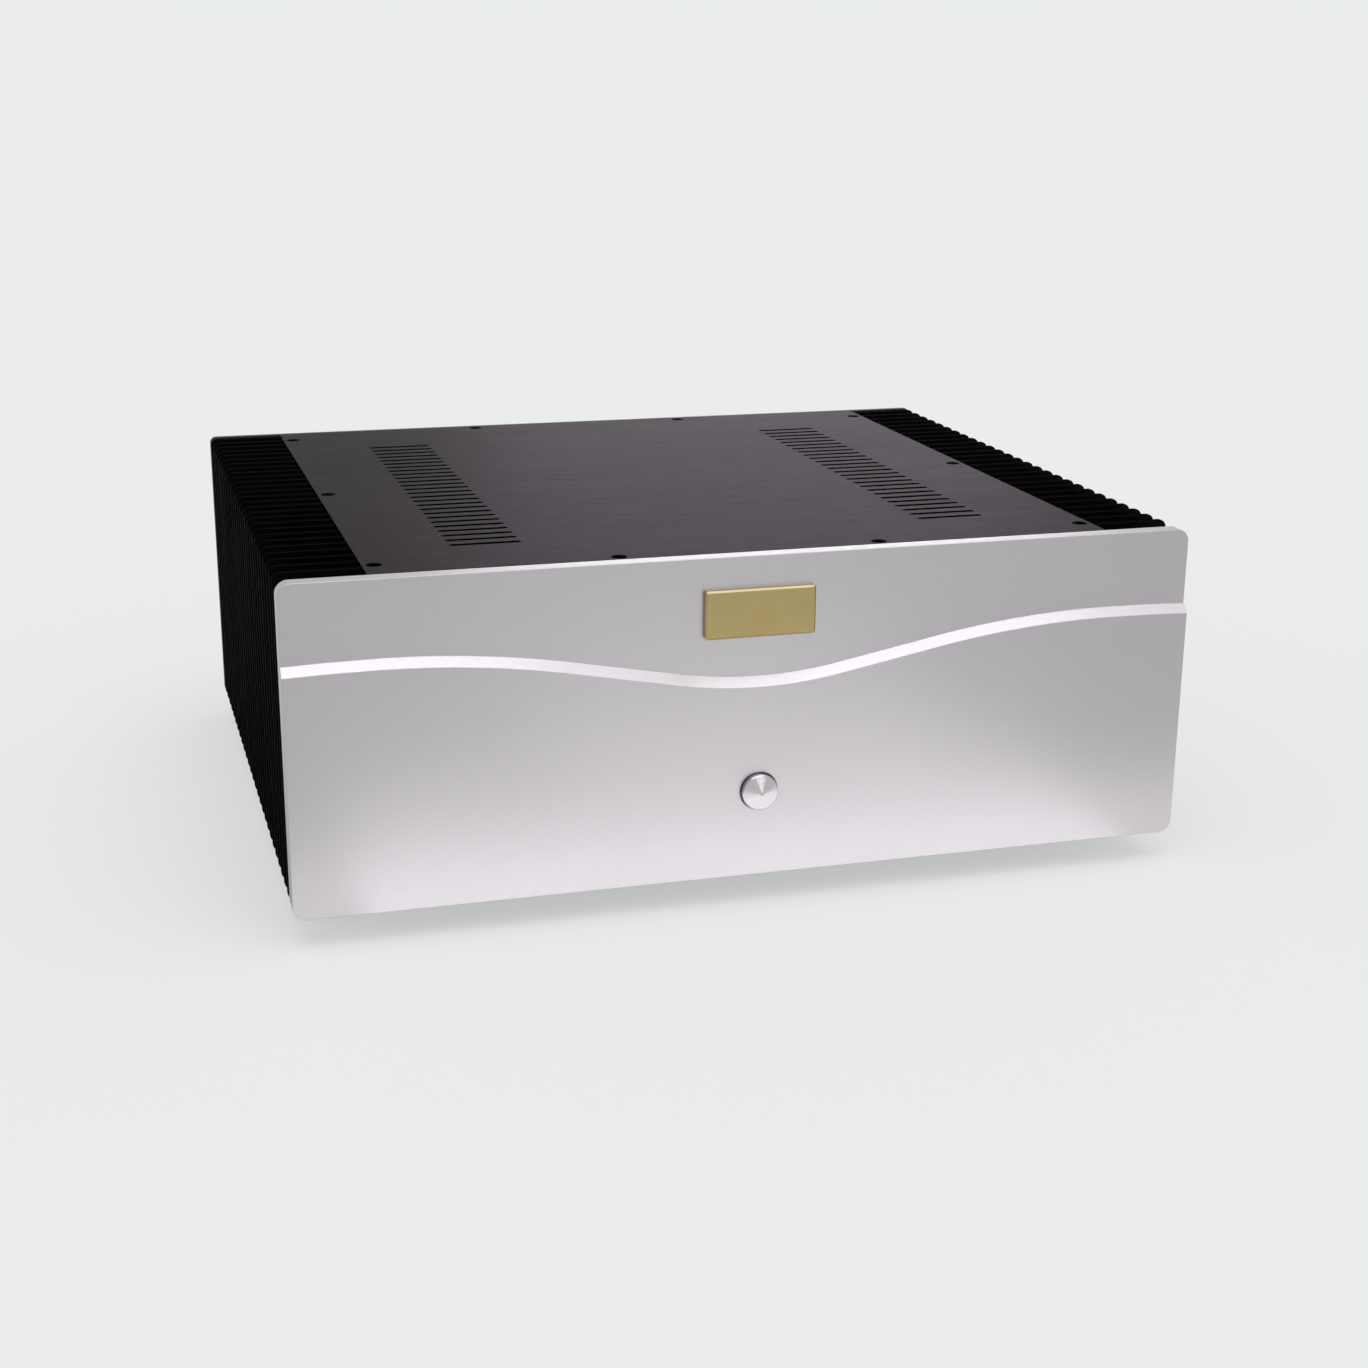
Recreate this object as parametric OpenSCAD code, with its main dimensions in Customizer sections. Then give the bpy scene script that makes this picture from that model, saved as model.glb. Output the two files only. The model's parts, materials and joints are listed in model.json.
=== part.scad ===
// Stereo power amplifier. A thick front panel with a wave-shaped step, a finned heat sink along
// each side, and a slotted cover, a bottom plate and a rear panel that close the case between them.
// Millimetres. X runs to the right, Y to the back, Z up. The origin is on the ground, under the
// middle of the whole object.

/* [Front panel] */
// Width of the front panel
panel_w = 430; // [415:1:450]
// Height of the front panel
panel_h = 152; // [146:1:165]
// Thickness of the lower part of the panel
panel_t = 12; // [11:0.5:15]
// Depth of the step: how far the upper part stands back behind the lower part
wave_step = 4; // [2:0.5:4.5]
// Radius of the panel's corners
corner_r = 6; // [3:0.5:9]
// Height of the wave's trough above the panel's lower edge
wave_trough_z = 91.5; // [75:0.5:100]
// Height of the wave's crests above its trough
wave_rise = 21; // [12:0.5:26]
// Distance of each crest from the middle of the panel
wave_crest_x = 174; // [160:1:190]
// Radius of the trough
wave_trough_r = 209; // [160:1:240]
// Radius of a crest on the side of the trough
wave_crest_r = 465; // [380:5:480]
// Radius of a crest on the side of the panel's end
wave_end_r = 940; // [600:10:1500]

/* [Name plate] */
// Width of the name plate
plate_w = 52.5; // [40:0.5:70]
// Height of the name plate
plate_h = 22.5; // [16:0.5:30]
// Thickness of the name plate
plate_t = 3; // [1:0.25:3.5]
// Width of the bevel along the name plate's edges
plate_bevel = 0.8; // [0.3:0.1:1]
// Height of the name plate's middle above the panel's lower edge
plate_z = 126; // [124:0.2:130]

/* [Power button] */
// Diameter of the button's cap
button_d = 17; // [14:0.5:22]
// How far the cap's rim stands out of the panel at rest
button_proud = 3.2; // [3.1:0.1:6]
// Height of the shallow cone on the cap's face
button_cone_h = 2.4; // [0.5:0.1:3]
// Length of the cap behind its rim
button_cap_l = 11; // [9:0.5:12]
// Diameter of the stem behind the cap
stem_d = 6; // [4:0.5:7]
// Travel of the button
button_travel = 3; // [1:0.5:3]
// Radial gap between the cap and its hole
button_gap = 0.3; // [0.2:0.05:0.6]
// Height of the button above the panel's lower edge
button_z = 41.3; // [38:0.1:60]
// Width of the bevel round the button's hole
button_hole_bevel = 0.4; // [0.2:0.1:0.8]

/* [Case] */
// Depth from the face of the front panel to the back of the rear panel
body_depth = 361.5; // [352:0.5:420]
// Height of the front panel's lower edge above the ground
ground_gap = 14; // [10:0.5:20]
// How far the cover lies below the top of the front panel
cover_drop = 0; // [0:0.1:2]
// How far the case's underside lies above the front panel's lower edge
bottom_rise = 0; // [0:0.1:3]
// Thickness of the cover
cover_t = 3; // [2:0.5:4]
// Thickness of the bottom plate
bottom_t = 3; // [2:0.5:4]
// Thickness of the rear panel
rear_t = 3; // [2:0.5:4]
// Gap along the edges of the cover and of the bottom plate
plate_gap = 0.3; // [0.2:0.1:0.6]
// Width of a cooling slot
slot_w = 3.5; // [2:0.25:4]
// Length of a cooling slot with its round ends
slot_l = 33.4; // [20:0.2:36]
// Distance from one slot to the next
slot_pitch = 9.85; // [8:0.05:14]
// Distance of the slots' middle from the middle of the case
slot_x = 114.6; // [112:0.2:120]
// Distance of the first slot from the cover's front edge
slot_front = 46; // [40:1:60]
// Least distance of the last slot from the cover's rear edge
slot_rear = 52; // [40:1:70]
// Width and height of the square rails across the case
rail_w = 10; // [9:0.5:12]

/* [Heat sinks] */
// How far the fins' tips lie inside the front panel's ends
side_inset = 0.5; // [0:0.5:4]
// Radius of the corners of the fins and of the rear panel
sink_corner_r = 3.5; // [2:0.5:9]
// Length of the fins
fin_l = 39; // [30:0.5:42]
// Thickness of the heat sink's base
sink_base_t = 10; // [9:0.5:14]
// Distance from one fin to the next
fin_pitch = 12.5; // [11:0.5:16]
// Thickness of a fin at its root
fin_root_t = 3.4; // [2:0.2:4]
// Thickness of a fin at its tip
fin_tip_t = 2.4; // [1.2:0.2:3]
// Distance of the first fin's middle from the front end of the heat sink
fin_front = 15; // [11:0.25:17]

/* [Screws] */
// Diameter of the case's screws
screw_d = 4; // [3:0.5:4.5]
// Diameter of the heads of the case's screws
screw_head_d = 7; // [6:0.5:8]
// Diameter of the small screws, for boards, brackets and the mains inlet
small_screw_d = 3; // [2:0.5:3]
// Diameter of the heads of the small screws
small_head_d = 5.5; // [4.5:0.5:6]
// Length of the cover's and the bottom plate's screws
case_screw_l = 12; // [9:1:12]
// Length of the front panel's screws, which pass through the rails
panel_screw_l = 16; // [14:1:17]
// Length of the screws that hold the rails' ends
rail_screw_l = 20; // [17:1:22]
// Length of the rear panel's screws
rear_screw_l = 11; // [8:1:12]
// Radial gap round a screw in its thread
thread_gap = 0.05; // [0.02:0.01:0.1]
// Radial gap round a screw or a bushing in a plain hole
hole_gap = 0.2; // [0.1:0.05:0.3]
// Distance of the cover's side screws from the roots of the fins
edge_screw_inset = 5.7; // [4.5:0.1:5.8]
// Distance of the front side screws from the cover's front edge
edge_screw_front = 17; // [15:0.5:40]
// Distance of the rear side screws from the cover's rear edge
edge_screw_rear = 20; // [17:0.5:40]
// Distance of the cover's end screws from the middle
end_screw_x = 62; // [40:1:90]
// Distance of the front panel's screws from the middle
panel_screw_x = 140; // [110:1:145]
// Distance of the rear panel's rail screws from the middle
rear_screw_x = 130; // [100:1:145]
// Distance of the rear panel's side screws from the ends of the heat sink's base
rear_screw_inset = 14; // [12:1:30]

/* [Feet] */
// Diameter of a foot at its top
foot_d = 36; // [30:1:38]
// Diameter of a foot at its lower end
foot_low_d = 32; // [28:1:36]
// Thickness of the pad under a foot
foot_pad_t = 2; // [1:0.5:3]
// Depth of the pad's seat in the foot
foot_pad_seat = 0.8; // [0.5:0.1:0.9]
// Distance of a foot's middle from the inner face of the heat sink
foot_side = 15; // [12:1:30]
// Distance of the front feet from the face of the front panel
foot_front = 62; // [62:1:90]
// Distance of the rear feet from the back of the rear panel
foot_rear = 45; // [40:1:80]

/* [Mains inlet] */
// Height of the inlet's middle above the ground
inlet_z = 80; // [76:1:100]
// Width of the socket that the mains plug enters
socket_w = 24.4; // [24:0.1:25]
// Height of the socket
socket_h = 16.4; // [16:0.1:17]
// Depth of the socket
socket_depth = 17; // [15:0.5:18]
// Bevel of the socket's two upper corners
socket_bevel = 5; // [4:0.5:6]
// Width of a contact pin
pin_w = 2; // [1.8:0.1:2.2]
// Height of a contact pin
pin_h = 4; // [3.8:0.1:4.2]
// Distance between the two live pins
pin_pitch = 14; // [13:0.5:14]
// Height of the earth pin above the other two
pin_rise = 4; // [4:0.1:4.4]
// Distance between the inlet's screws
inlet_screw_pitch = 40; // [38:0.5:42]
// Travel of the fuse drawer
drawer_travel = 16; // [10:1:18]
// Gap round the fuse drawer
drawer_gap = 0.25; // [0.2:0.05:0.4]

/* [Signal sockets] */
// Distance of each signal socket from the middle
input_x = 60; // [50:1:80]
// Height of the signal sockets above the ground
input_z = 125; // [115:1:135]
// Outer diameter of the socket's shell
input_shell_d = 8.3; // [8.2:0.05:8.4]
// Diameter of the hole for the plug's centre pin
input_bore_d = 3.2; // [3.1:0.05:3.4]
// Length of the shell beyond its flange
input_shell_l = 10; // [8:0.5:11]

/* [Loudspeaker terminals] */
// Distance of each pair of terminals from the middle
terminal_x = 110; // [100:1:115]
// Distance between the two terminals of a pair
terminal_pitch = 19; // [19:0.5:24]
// Height of the terminals above the ground
terminal_z = 62; // [52:1:80]
// How far the posts stand out behind the rear panel
post_proud = 27; // [26:0.5:32]
// Diameter of a post
post_d = 8; // [7:0.5:8]
// Diameter of the plug's hole in the post
plug_bore_d = 4.1; // [4.05:0.05:4.2]
// Depth of the plug's hole
plug_bore_l = 16.5; // [12:0.5:16.5]
// Diameter of the wire's hole across the post
wire_hole_d = 3.2; // [2:0.2:3.2]
// Outer diameter of a knob
knob_d = 16; // [14:0.5:17]
// Number of grooves round a knob
knob_grooves = 14; // [8:1:18]
// Thickness of the clamp washer under a knob
clamp_t = 1.5; // [1:0.25:2]
// Running gap between a post and what turns or slides on it
post_gap = 0.05; // [0.03:0.01:0.1]
// Gap between the pieces of a closed terminal
terminal_gap = 0.2; // [0.1:0.05:0.3]

/* [Transformer] */
// Outer diameter of the ring transformer
toroid_d = 130; // [110:1:134]
// Height of the ring transformer
toroid_h = 60; // [45:1:66]
// Diameter of the hole in the ring
toroid_hole_d = 34; // [28:1:40]
// Rounding of the ring's edges
toroid_round = 12; // [6:1:15]
// Thickness of each pad
toroid_pad_t = 3; // [2:0.5:4]
// Distance from the back of the front panel to the ring
toroid_front = 60; // [58:1:64]
// Diameter of the clamping bolt
bolt_d = 8; // [6:1:8]

/* [Boards] */
// Thickness of the boards
board_t = 1.6; // [1.2:0.1:2.4]
// Height of the boards above the bottom plate
board_lift = 8; // [6:0.5:12]
// Width of the supply board
supply_w = 132; // [126:1:136]
// Depth of the supply board
supply_l = 85; // [82:1:86]
// Diameter of a filter capacitor
cap_d = 35; // [30:1:36]
// Height of a filter capacitor
cap_h = 50; // [35:1:60]
// Distance between the filter capacitors
cap_pitch = 40; // [38:1:42]
// Size of a rectifier's square case
rectifier_w = 28.5; // [25:0.5:29]
// Height of a rectifier's case
rectifier_h = 11; // [8:0.5:12]
// Length of an amplifier board
amp_board_l = 200; // [180:1:220]
// Height of an amplifier board
amp_board_h = 86; // [70:1:88]
// Distance between an amplifier board and its heat sink
amp_board_gap = 20; // [16:1:24]
// Distance between the output transistors
transistor_pitch = 50; // [40:1:55]
// Height of the output transistors' lower ends above the bottom plate
transistor_z = 26; // [20:1:30]
// Width of the protection board
protection_w = 120; // [116:1:124]
// Depth of the protection board
protection_l = 38; // [36:1:40]
// Diameter of the power leads
lead_d = 2.8; // [2:0.2:3.2]
// Diameter of the signal leads
signal_lead_d = 3.2; // [2:0.2:3.6]

/* [Hidden] */
$fn = 64;
small_fn = 32;

// Case: heights
panel_z = ground_gap;
case_bottom_z = panel_z + bottom_rise;
case_top_z = panel_z + panel_h - cover_drop;
sink_h = case_top_z - case_bottom_z;
floor_z = case_bottom_z + bottom_t;
ceiling_z = case_top_z - cover_t;

// Case: depths
button_reach = button_proud + button_cone_h;
front_y = (button_reach - body_depth - post_proud) / 2;
rear_y = front_y + body_depth;
panel_back_y = front_y + panel_t;
rear_inner_y = rear_y - rear_t;
case_l = rear_inner_y - panel_back_y;

// Case: widths
sink_out_x = panel_w / 2 - side_inset;
fin_root_x = sink_out_x - fin_l;
inner_x = fin_root_x - sink_base_t;
plate_half_w = fin_root_x - plate_gap;
fin_count = floor((case_l - fin_front - fin_root_t / 2) / fin_pitch) + 1;
slot_count = floor((case_l - slot_front - slot_rear) / slot_pitch) + 1;

// The wave: an arc in the trough, a straight flank, and an arc on each side of the crest
wave_radii = wave_trough_r + wave_crest_r;
wave_tilt = atan2(wave_crest_x, wave_radii - wave_rise)
    - acos(wave_radii / norm([wave_crest_x, wave_radii - wave_rise]));
wave_flank_x = wave_trough_r * sin(wave_tilt);
wave_flank_z = wave_trough_z + wave_trough_r * (1 - cos(wave_tilt));
wave_shoulder_x = wave_crest_x - wave_crest_r * sin(wave_tilt);
wave_top_z = wave_trough_z + wave_rise;
wave_facets = 108;
spare = 1;

// Screws
cone_h = (screw_head_d - screw_d) / 2;
socket_share = 0.45;
tap_extra = 1;
edge_screw_x = fin_root_x - edge_screw_inset;
edge_front_y = panel_back_y + edge_screw_front;
edge_rear_y = rear_inner_y - edge_screw_rear;
edge_screw_ys = [edge_front_y, (edge_front_y + edge_rear_y) / 2, edge_rear_y];
front_rail_y = panel_back_y + rail_w / 2;
rear_rail_y = rear_inner_y - rail_w / 2;
low_rail_z = floor_z + rail_w / 2;
high_rail_z = ceiling_z - rail_w / 2;
base_mid_x = inner_x + sink_base_t / 2;
rear_screw_zs = [floor_z + rear_screw_inset, (floor_z + ceiling_z) / 2, ceiling_z - rear_screw_inset];

// Power switch
button_axis_z = panel_z + button_z;
bracket_reach = 18;
bracket_t = 2;
bracket_h = 24;
bracket_half_w = 18;
bracket_ear = 12;
bracket_screw_x = bracket_half_w + bracket_ear / 2;
bracket_screw_l = 6;
bridge_y = panel_back_y + bracket_reach;
bushing_d = 12;
bushing_l = 6;
switch_nut_t = 3;
switch_nut_w = 16;
switch_w = 18;
switch_l = 24;
stem_reach = 6;
stem_end_y = bridge_y + bracket_t + stem_reach;
switch_end_y = bridge_y + bracket_t + switch_l;
lug_l = 6;
lug_x = 5;
lug_z = 4;
cap_back_y = front_y - button_proud + button_cap_l;
spring_wire_d = 0.9;
spring_r = stem_d / 2 + 1.2;
spring_turns = 7;
spring_clear = 0.1;

// Feet
foot_x = inner_x - foot_side;
foot_ys = [front_y + foot_front, rear_y - foot_rear];
foot_nut_t = 3.2;
foot_bolt_head = 4;
foot_recess = 5;

// Mains inlet, measured from the middle of its socket and the back of the rear panel
flange_t = 2.5;
flange_w = 50;
flange_top = 13;
flange_low = 26;
inlet_body_w = 28;
inlet_body_l = 30;
inlet_top = 11;
inlet_low = 24.5;
pin_length = 39;
pin_inset = 1.5;
drawer_w = 24;
drawer_h = 9;
drawer_mid = 17.7;
drawer_hold = 10;
drawer_l = drawer_travel + drawer_hold;
drawer_face_w = 27;
drawer_face_h = 11;
drawer_face_t = 2;
drawer_wall = 1.5;
drawer_floor_t = 1.3;
drawer_lip_l = 1.2;
drawer_lip_t = 1.6;
fuse_d = 5.2;
fuse_l = 20;
fuse_cap_l = 5;
fuse_gap = 0.2;
fuse_y = flange_t - drawer_l + drawer_wall + fuse_gap + fuse_d / 2;
fuse_z = drawer_floor_t - drawer_h / 2 + fuse_gap / 2 + fuse_d / 2 - drawer_mid;

// Signal sockets, along their own axis from the back of the rear panel
input_washer_d = 14;
input_washer_t = 1.2;
input_spigot_d = 9.2;
input_tail_d = 6.5;
input_tail_l = 9;
input_flange_d = 12;
input_flange_t = 1.8;
input_wall = 0.75;
input_nut_w = 11;
input_nut_t = 2.5;

// Loudspeaker terminals, along their own axis from the back of the rear panel
insulator_d = 18;
insulator_t = 4;
inner_insulator_t = 3;
spigot_d = 10.5;
collar_d = 14;
collar_t = 2;
collar_end = insulator_t + collar_t;
clamp_start = collar_end + terminal_gap;
knob_start = clamp_start + clamp_t + terminal_gap;
knob_end = post_proud - 1;
post_nut_w = 14;
post_nut_t = 5;
post_tail = 15;
wire_hole_pos = collar_end + 2.6;

// Transformer and boards
small_screw_l = 6;
toroid_space = 7;
toroid_y = panel_back_y + toroid_front + toroid_d / 2;
toroid_z = floor_z + toroid_pad_t;
toroid_top_z = toroid_z + toroid_h;
dish_z = toroid_top_z + toroid_pad_t;
dish_t = 2;
dish_d = 100;
dish_depth = 8;
dish_floor_d = 24;
bolt_head_t = 4.5;
bolt_nut_t = 6.5;
board_z = floor_z + board_lift;
board_top_z = board_z + board_t;
standoff_d = 6.5;
board_hole_inset = 4;
supply_front_y = toroid_y + toroid_d / 2 + toroid_space;
supply_y = supply_front_y + supply_l / 2;
supply_back_y = supply_front_y + supply_l;
board_space = 6;
rectifier_x = 74;
rectifier_back = 53;
rectifier_y = toroid_y + rectifier_back;
rectifier_tab = 6;
rectifier_tab_h = 8;
rectifier_tab_top = floor_z + rectifier_h + rectifier_tab_h;
protection_y = supply_back_y + board_space + protection_l / 2;
relay_l = 28;
relay_w = 12.5;
relay_h = 16;
relay_x = 22;
amp_board_x = inner_x - amp_board_gap;
amp_board_inner_x = amp_board_x - board_t;
amp_board_y = (panel_back_y + rear_inner_y) / 2;
amp_board_lift = 45;
amp_board_z = floor_z + amp_board_lift;
transistor_pad_t = 0.5;
transistor_t = 5;
transistor_w = 16;
transistor_h = 21;
transistor_hole_z = 15;
transistor_screw_l = 12;
transistor_low_z = floor_z + transistor_z;
transistor_ys = [for (i = [-1.5:1:1.5]) amp_board_y + i * transistor_pitch];
transistor_leg_d = 1.2;
transistor_leg_pitch = 5.4;
resistor_l = 25;
resistor_w = 10;
resistor_t = 9;
resistor_rise = 50;
resistor_z = amp_board_z + resistor_rise;

// Leads
end_gap = 0.15;
lead_floor_z = floor_z + lead_d / 2 + end_gap;
pin_end_y = rear_y + flange_t - pin_inset - pin_length - end_gap;
lug_end_y = switch_end_y + lug_l + end_gap;
lane_x = 92;
lane_step = 4;
turn = 10;
winding_z = toroid_z + toroid_h / 2;

// ---------- Shared shapes ----------

// Outline with round corners, its lower edge on the X axis and its middle at x = 0
module rounded_outline(w, h, r) {
    translate([r - w / 2, 0]) square([w - 2 * r, h]);
    translate([-w / 2, r]) square([w, h - 2 * r]);
    for (x = [r - w / 2, w / 2 - r], y = [r, h - r]) translate([x, y]) circle(r);
}

// Upright plate with round corners: its front face at y = 0, its lower edge at z = 0
module standing_plate(w, h, t, r) {
    translate([0, t, 0]) rotate([90, 0, 0]) linear_extrude(t) rounded_outline(w, h, r);
}

// Turns what is drawn along +Z so that it points to the back
module to_back(place) {
    translate(place) rotate([-90, 0, 0]) children();
}

// Turns what is drawn along +Z so that it points to the front
module to_front(place) {
    translate(place) rotate([90, 0, 0]) children();
}

module both_sides() {
    children();
    mirror([1, 0, 0]) children();
}

module ring(outer_d, inner_d, t) {
    rotate_extrude() translate([inner_d / 2, 0]) square([(outer_d - inner_d) / 2, t]);
}

// Hexagon nut, its width across the flats, standing on z = 0
module nut(across, bore_d, t) {
    difference() {
        cylinder(h = t, d = across / cos(30), $fn = 6);
        translate([0, 0, -spare]) cylinder(h = t + 2 * spare, d = bore_d + 2 * thread_gap);
    }
}

// Countersunk screw that points down, its flat head at z = 0
module flat_screw(d, head_d, l) {
    cone = (head_d - d) / 2;
    difference() {
        rotate_extrude($fn = small_fn)
            polygon([[0, -l], [d / 2, -l], [d / 2, -cone], [head_d / 2, 0], [0, 0]]);
        translate([0, 0, -cone]) cylinder(h = cone + spare, d = head_d * socket_share, $fn = 6);
    }
}

// Screw with a round head that stands on z = 0 and a shaft that points down
module cap_screw(d, head_d, l) {
    head_t = d * 0.7;
    edge = head_t / 3;
    difference() {
        rotate_extrude($fn = small_fn)
            polygon([[0, -l], [d / 2, -l], [d / 2, 0], [head_d / 2, 0], [head_d / 2, head_t - edge],
                [head_d / 2 - edge, head_t], [0, head_t]]);
        translate([0, 0, head_t / 2]) cylinder(h = head_t, d = head_d * socket_share, $fn = 6);
    }
}

// Cutter for a countersunk screw in a plate whose upper face is at z = 0
module countersink(d, head_d, t) {
    hole_r = d / 2 + hole_gap;
    head_r = head_d / 2 + hole_gap;
    rotate_extrude()
        polygon([[0, -t - spare], [hole_r, -t - spare], [hole_r, hole_r - head_r], [head_r, 0],
            [head_r, spare], [0, spare]]);
}

module plain_hole(d, l) {
    cylinder(h = l, d = d + 2 * hole_gap);
}

module tapped_hole(d, l) {
    cylinder(h = l, d = d + 2 * thread_gap);
}

// ---------- Leads ----------

// Rounds the bends of a route by cutting its corners, n times
function rounded_route(p, n) = n == 0 ? p : rounded_route(concat(
    [p[0]],
    [for (i = [0:len(p) - 2]) each [0.75 * p[i] + 0.25 * p[i + 1], 0.25 * p[i] + 0.75 * p[i + 1]]],
    [p[len(p) - 1]]), n - 1);

function unit(v) = v / norm(v);

// Direction of a route at its point i
function heading(p, i) = unit(p[min(i + 1, len(p) - 1)] - p[max(i - 1, 0)]);

// Part of v that is square to the direction t
function square_to(v, t) = unit(v - (v * t) * t);

// One sideways vector for each point of a route, carried along it without a twist
function side_vectors(p, done = []) = let (i = len(done))
    i == len(p) ? done
    : side_vectors(p, concat(done, [square_to(i == 0 ? [1, 1, 1] : done[i - 1], heading(p, i))]));

// Ring of points round a route's point, with the route's direction t and a sideways vector u there
function ring_points(point, t, u, r, sides) = let (v = cross(t, u))
    [for (k = [0:sides - 1]) point + r * (cos(360 * k / sides) * u + sin(360 * k / sides) * v)];

// Round tube along the points of a route
module tube(p, d, sides = 8) {
    n = len(p);
    sideways = side_vectors(p);
    polyhedron(
        points = [for (i = [0:n - 1])
            each ring_points(p[i], heading(p, i), sideways[i], d / 2, sides)],
        faces = concat(
            [[for (k = [0:sides - 1]) k]],
            [for (i = [0:n - 2], k = [0:sides - 1]) let (a = i * sides + k,
                b = i * sides + (k + 1) % sides) [a, a + sides, b + sides, b]],
            [[for (k = [sides - 1:-1:0]) (n - 1) * sides + k]]));
}

module lead(route, d = lead_d) {
    tube(rounded_route(route, 2), d);
}

// ---------- Front ----------

// Height of the wave's lower edge above the panel's lower edge
function wave_height(x) = let (a = abs(x))
    a < wave_flank_x ? wave_trough_z + wave_trough_r - sqrt(pow(wave_trough_r, 2) - a * a)
    : a < wave_shoulder_x ? wave_flank_z + (a - wave_flank_x) * tan(wave_tilt)
    : a < wave_crest_x ? wave_top_z - wave_crest_r + sqrt(pow(wave_crest_r, 2) - pow(wave_crest_x - a, 2))
    : wave_top_z - wave_end_r + sqrt(pow(wave_end_r, 2) - pow(a - wave_crest_x, 2));

// Section of the lower layer at x: its upper edge slopes back at 45 degrees
function wave_section(x) = let (z = panel_z + wave_height(x)) [
    [x, front_y - spare, panel_z - spare],
    [x, front_y - spare, z - spare],
    [x, front_y + wave_step + spare, z + wave_step + spare],
    [x, front_y + wave_step + spare, panel_z - spare]];

module wave_layer() {
    half = panel_w / 2 + spare;
    n = wave_facets;
    polyhedron(
        points = [for (i = [0:n]) each wave_section(-half + 2 * half * i / n)],
        faces = concat(
            [[3, 2, 1, 0]],
            [for (i = [0:n - 1], k = [0:3]) let (a = 4 * i, b = (k + 1) % 4)
                [a + k, a + b, a + 4 + b, a + 4 + k]],
            [[4 * n, 4 * n + 1, 4 * n + 2, 4 * n + 3]]));
}

module front_panel() {
    hole_r = button_d / 2 + button_gap;
    screw_depth = panel_screw_l - rail_w + tap_extra / 2;
    color("silver")
    difference() {
        intersection() {
            translate([0, front_y, panel_z]) standing_plate(panel_w, panel_h, panel_t, corner_r);
            union() {
                translate([-panel_w / 2 - spare, front_y + wave_step, panel_z - spare])
                    cube([panel_w + 2 * spare, panel_t, panel_h + 2 * spare]);
                wave_layer();
            }
        }
        to_back([0, front_y - spare, button_axis_z]) cylinder(h = panel_t + 2 * spare, r = hole_r);
        to_back([0, front_y, button_axis_z])
            cylinder(h = button_hole_bevel, r1 = hole_r + button_hole_bevel, r2 = hole_r);
        both_sides() {
            for (z = [low_rail_z, high_rail_z])
                to_front([panel_screw_x, panel_back_y, z]) tapped_hole(screw_d, screw_depth);
            to_front([bracket_screw_x, panel_back_y, button_axis_z])
                tapped_hole(small_screw_d, bracket_screw_l - bracket_t + tap_extra);
        }
    }
}

module name_plate() {
    face_y = front_y + wave_step;
    color("#a18f63")
    translate([0, face_y - plate_t, panel_z + plate_z - plate_h / 2])
    hull() {
        translate([0, plate_bevel, 0])
            standing_plate(plate_w, plate_h, plate_t - plate_bevel, plate_bevel + 0.6, $fn = small_fn);
        translate([0, 0, plate_bevel])
            standing_plate(plate_w - 2 * plate_bevel, plate_h - 2 * plate_bevel, plate_t / 2, 0.6,
                $fn = small_fn);
    }
}

module power_button() {
    edge = 0.5;
    cap_r = button_d / 2;
    back_l = button_cone_h + button_cap_l;
    whole_l = stem_end_y - front_y + button_reach;
    color("silver")
    to_back([0, front_y - button_reach, button_axis_z])
    rotate_extrude()
        polygon([[0, 0], [cap_r - edge, button_cone_h], [cap_r, button_cone_h + edge],
            [cap_r, back_l], [stem_d / 2, back_l], [stem_d / 2, whole_l], [0, whole_l]]);
}

module button_spring() {
    start_y = cap_back_y + spring_clear + spring_wire_d / 2;
    length = bridge_y - bushing_l - cap_back_y - 2 * spring_clear - spring_wire_d;
    steps = spring_turns * 12;
    color("gray")
    tube([for (i = [0:steps]) let (a = 360 * spring_turns * i / steps)
        [spring_r * cos(a), start_y + length * i / steps, button_axis_z + spring_r * sin(a)]],
        spring_wire_d, 6);
}

// Bent sheet: two ears on the front panel and a bridge that holds the switch
module switch_bracket() {
    outer = bracket_half_w;
    reach = bracket_reach;
    t = bracket_t;
    half = [[0, reach], [outer - t, reach], [outer - t, 0], [outer + bracket_ear, 0],
        [outer + bracket_ear, t], [outer, t], [outer, reach + t], [0, reach + t]];
    color("lightgray")
    difference() {
        translate([0, panel_back_y, button_axis_z - bracket_h / 2])
            both_sides() linear_extrude(bracket_h) polygon(half);
        to_back([0, bridge_y - spare, button_axis_z]) plain_hole(bushing_d, t + 2 * spare);
        both_sides() to_back([bracket_screw_x, panel_back_y - spare, button_axis_z])
            plain_hole(small_screw_d, t + 2 * spare);
    }
}

module power_switch() {
    body_y = bridge_y + bracket_t;
    bore_l = bushing_l + bracket_t + stem_reach + button_travel + 1;
    color("#202022")
    difference() {
        union() {
            translate([-switch_w / 2, body_y, button_axis_z - switch_w / 2])
                cube([switch_w, switch_l, switch_w]);
            to_back([0, bridge_y - bushing_l, button_axis_z])
                cylinder(h = bushing_l + bracket_t + spare, d = bushing_d);
            for (x = [-lug_x, lug_x], z = [-lug_z, lug_z])
                translate([x - 2, switch_end_y - spare, button_axis_z + z - 0.4])
                    cube([4, lug_l + spare, 0.8]);
        }
        to_back([0, bridge_y - bushing_l - spare, button_axis_z])
            cylinder(h = bore_l + spare, d = stem_d + 2 * thread_gap);
    }
}

module switch_nut() {
    color("lightgray")
    to_back([0, bridge_y - switch_nut_t, button_axis_z]) nut(switch_nut_w, bushing_d, switch_nut_t);
}

// ---------- Case ----------

// Places of the screws in the cover and in the bottom plate, seen from above
module case_screw_places() {
    for (side = [-1, 1]) {
        for (y = edge_screw_ys) translate([side * edge_screw_x, y, 0]) children();
        for (y = [front_rail_y, rear_rail_y]) translate([side * end_screw_x, y, 0]) children();
    }
}

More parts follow.
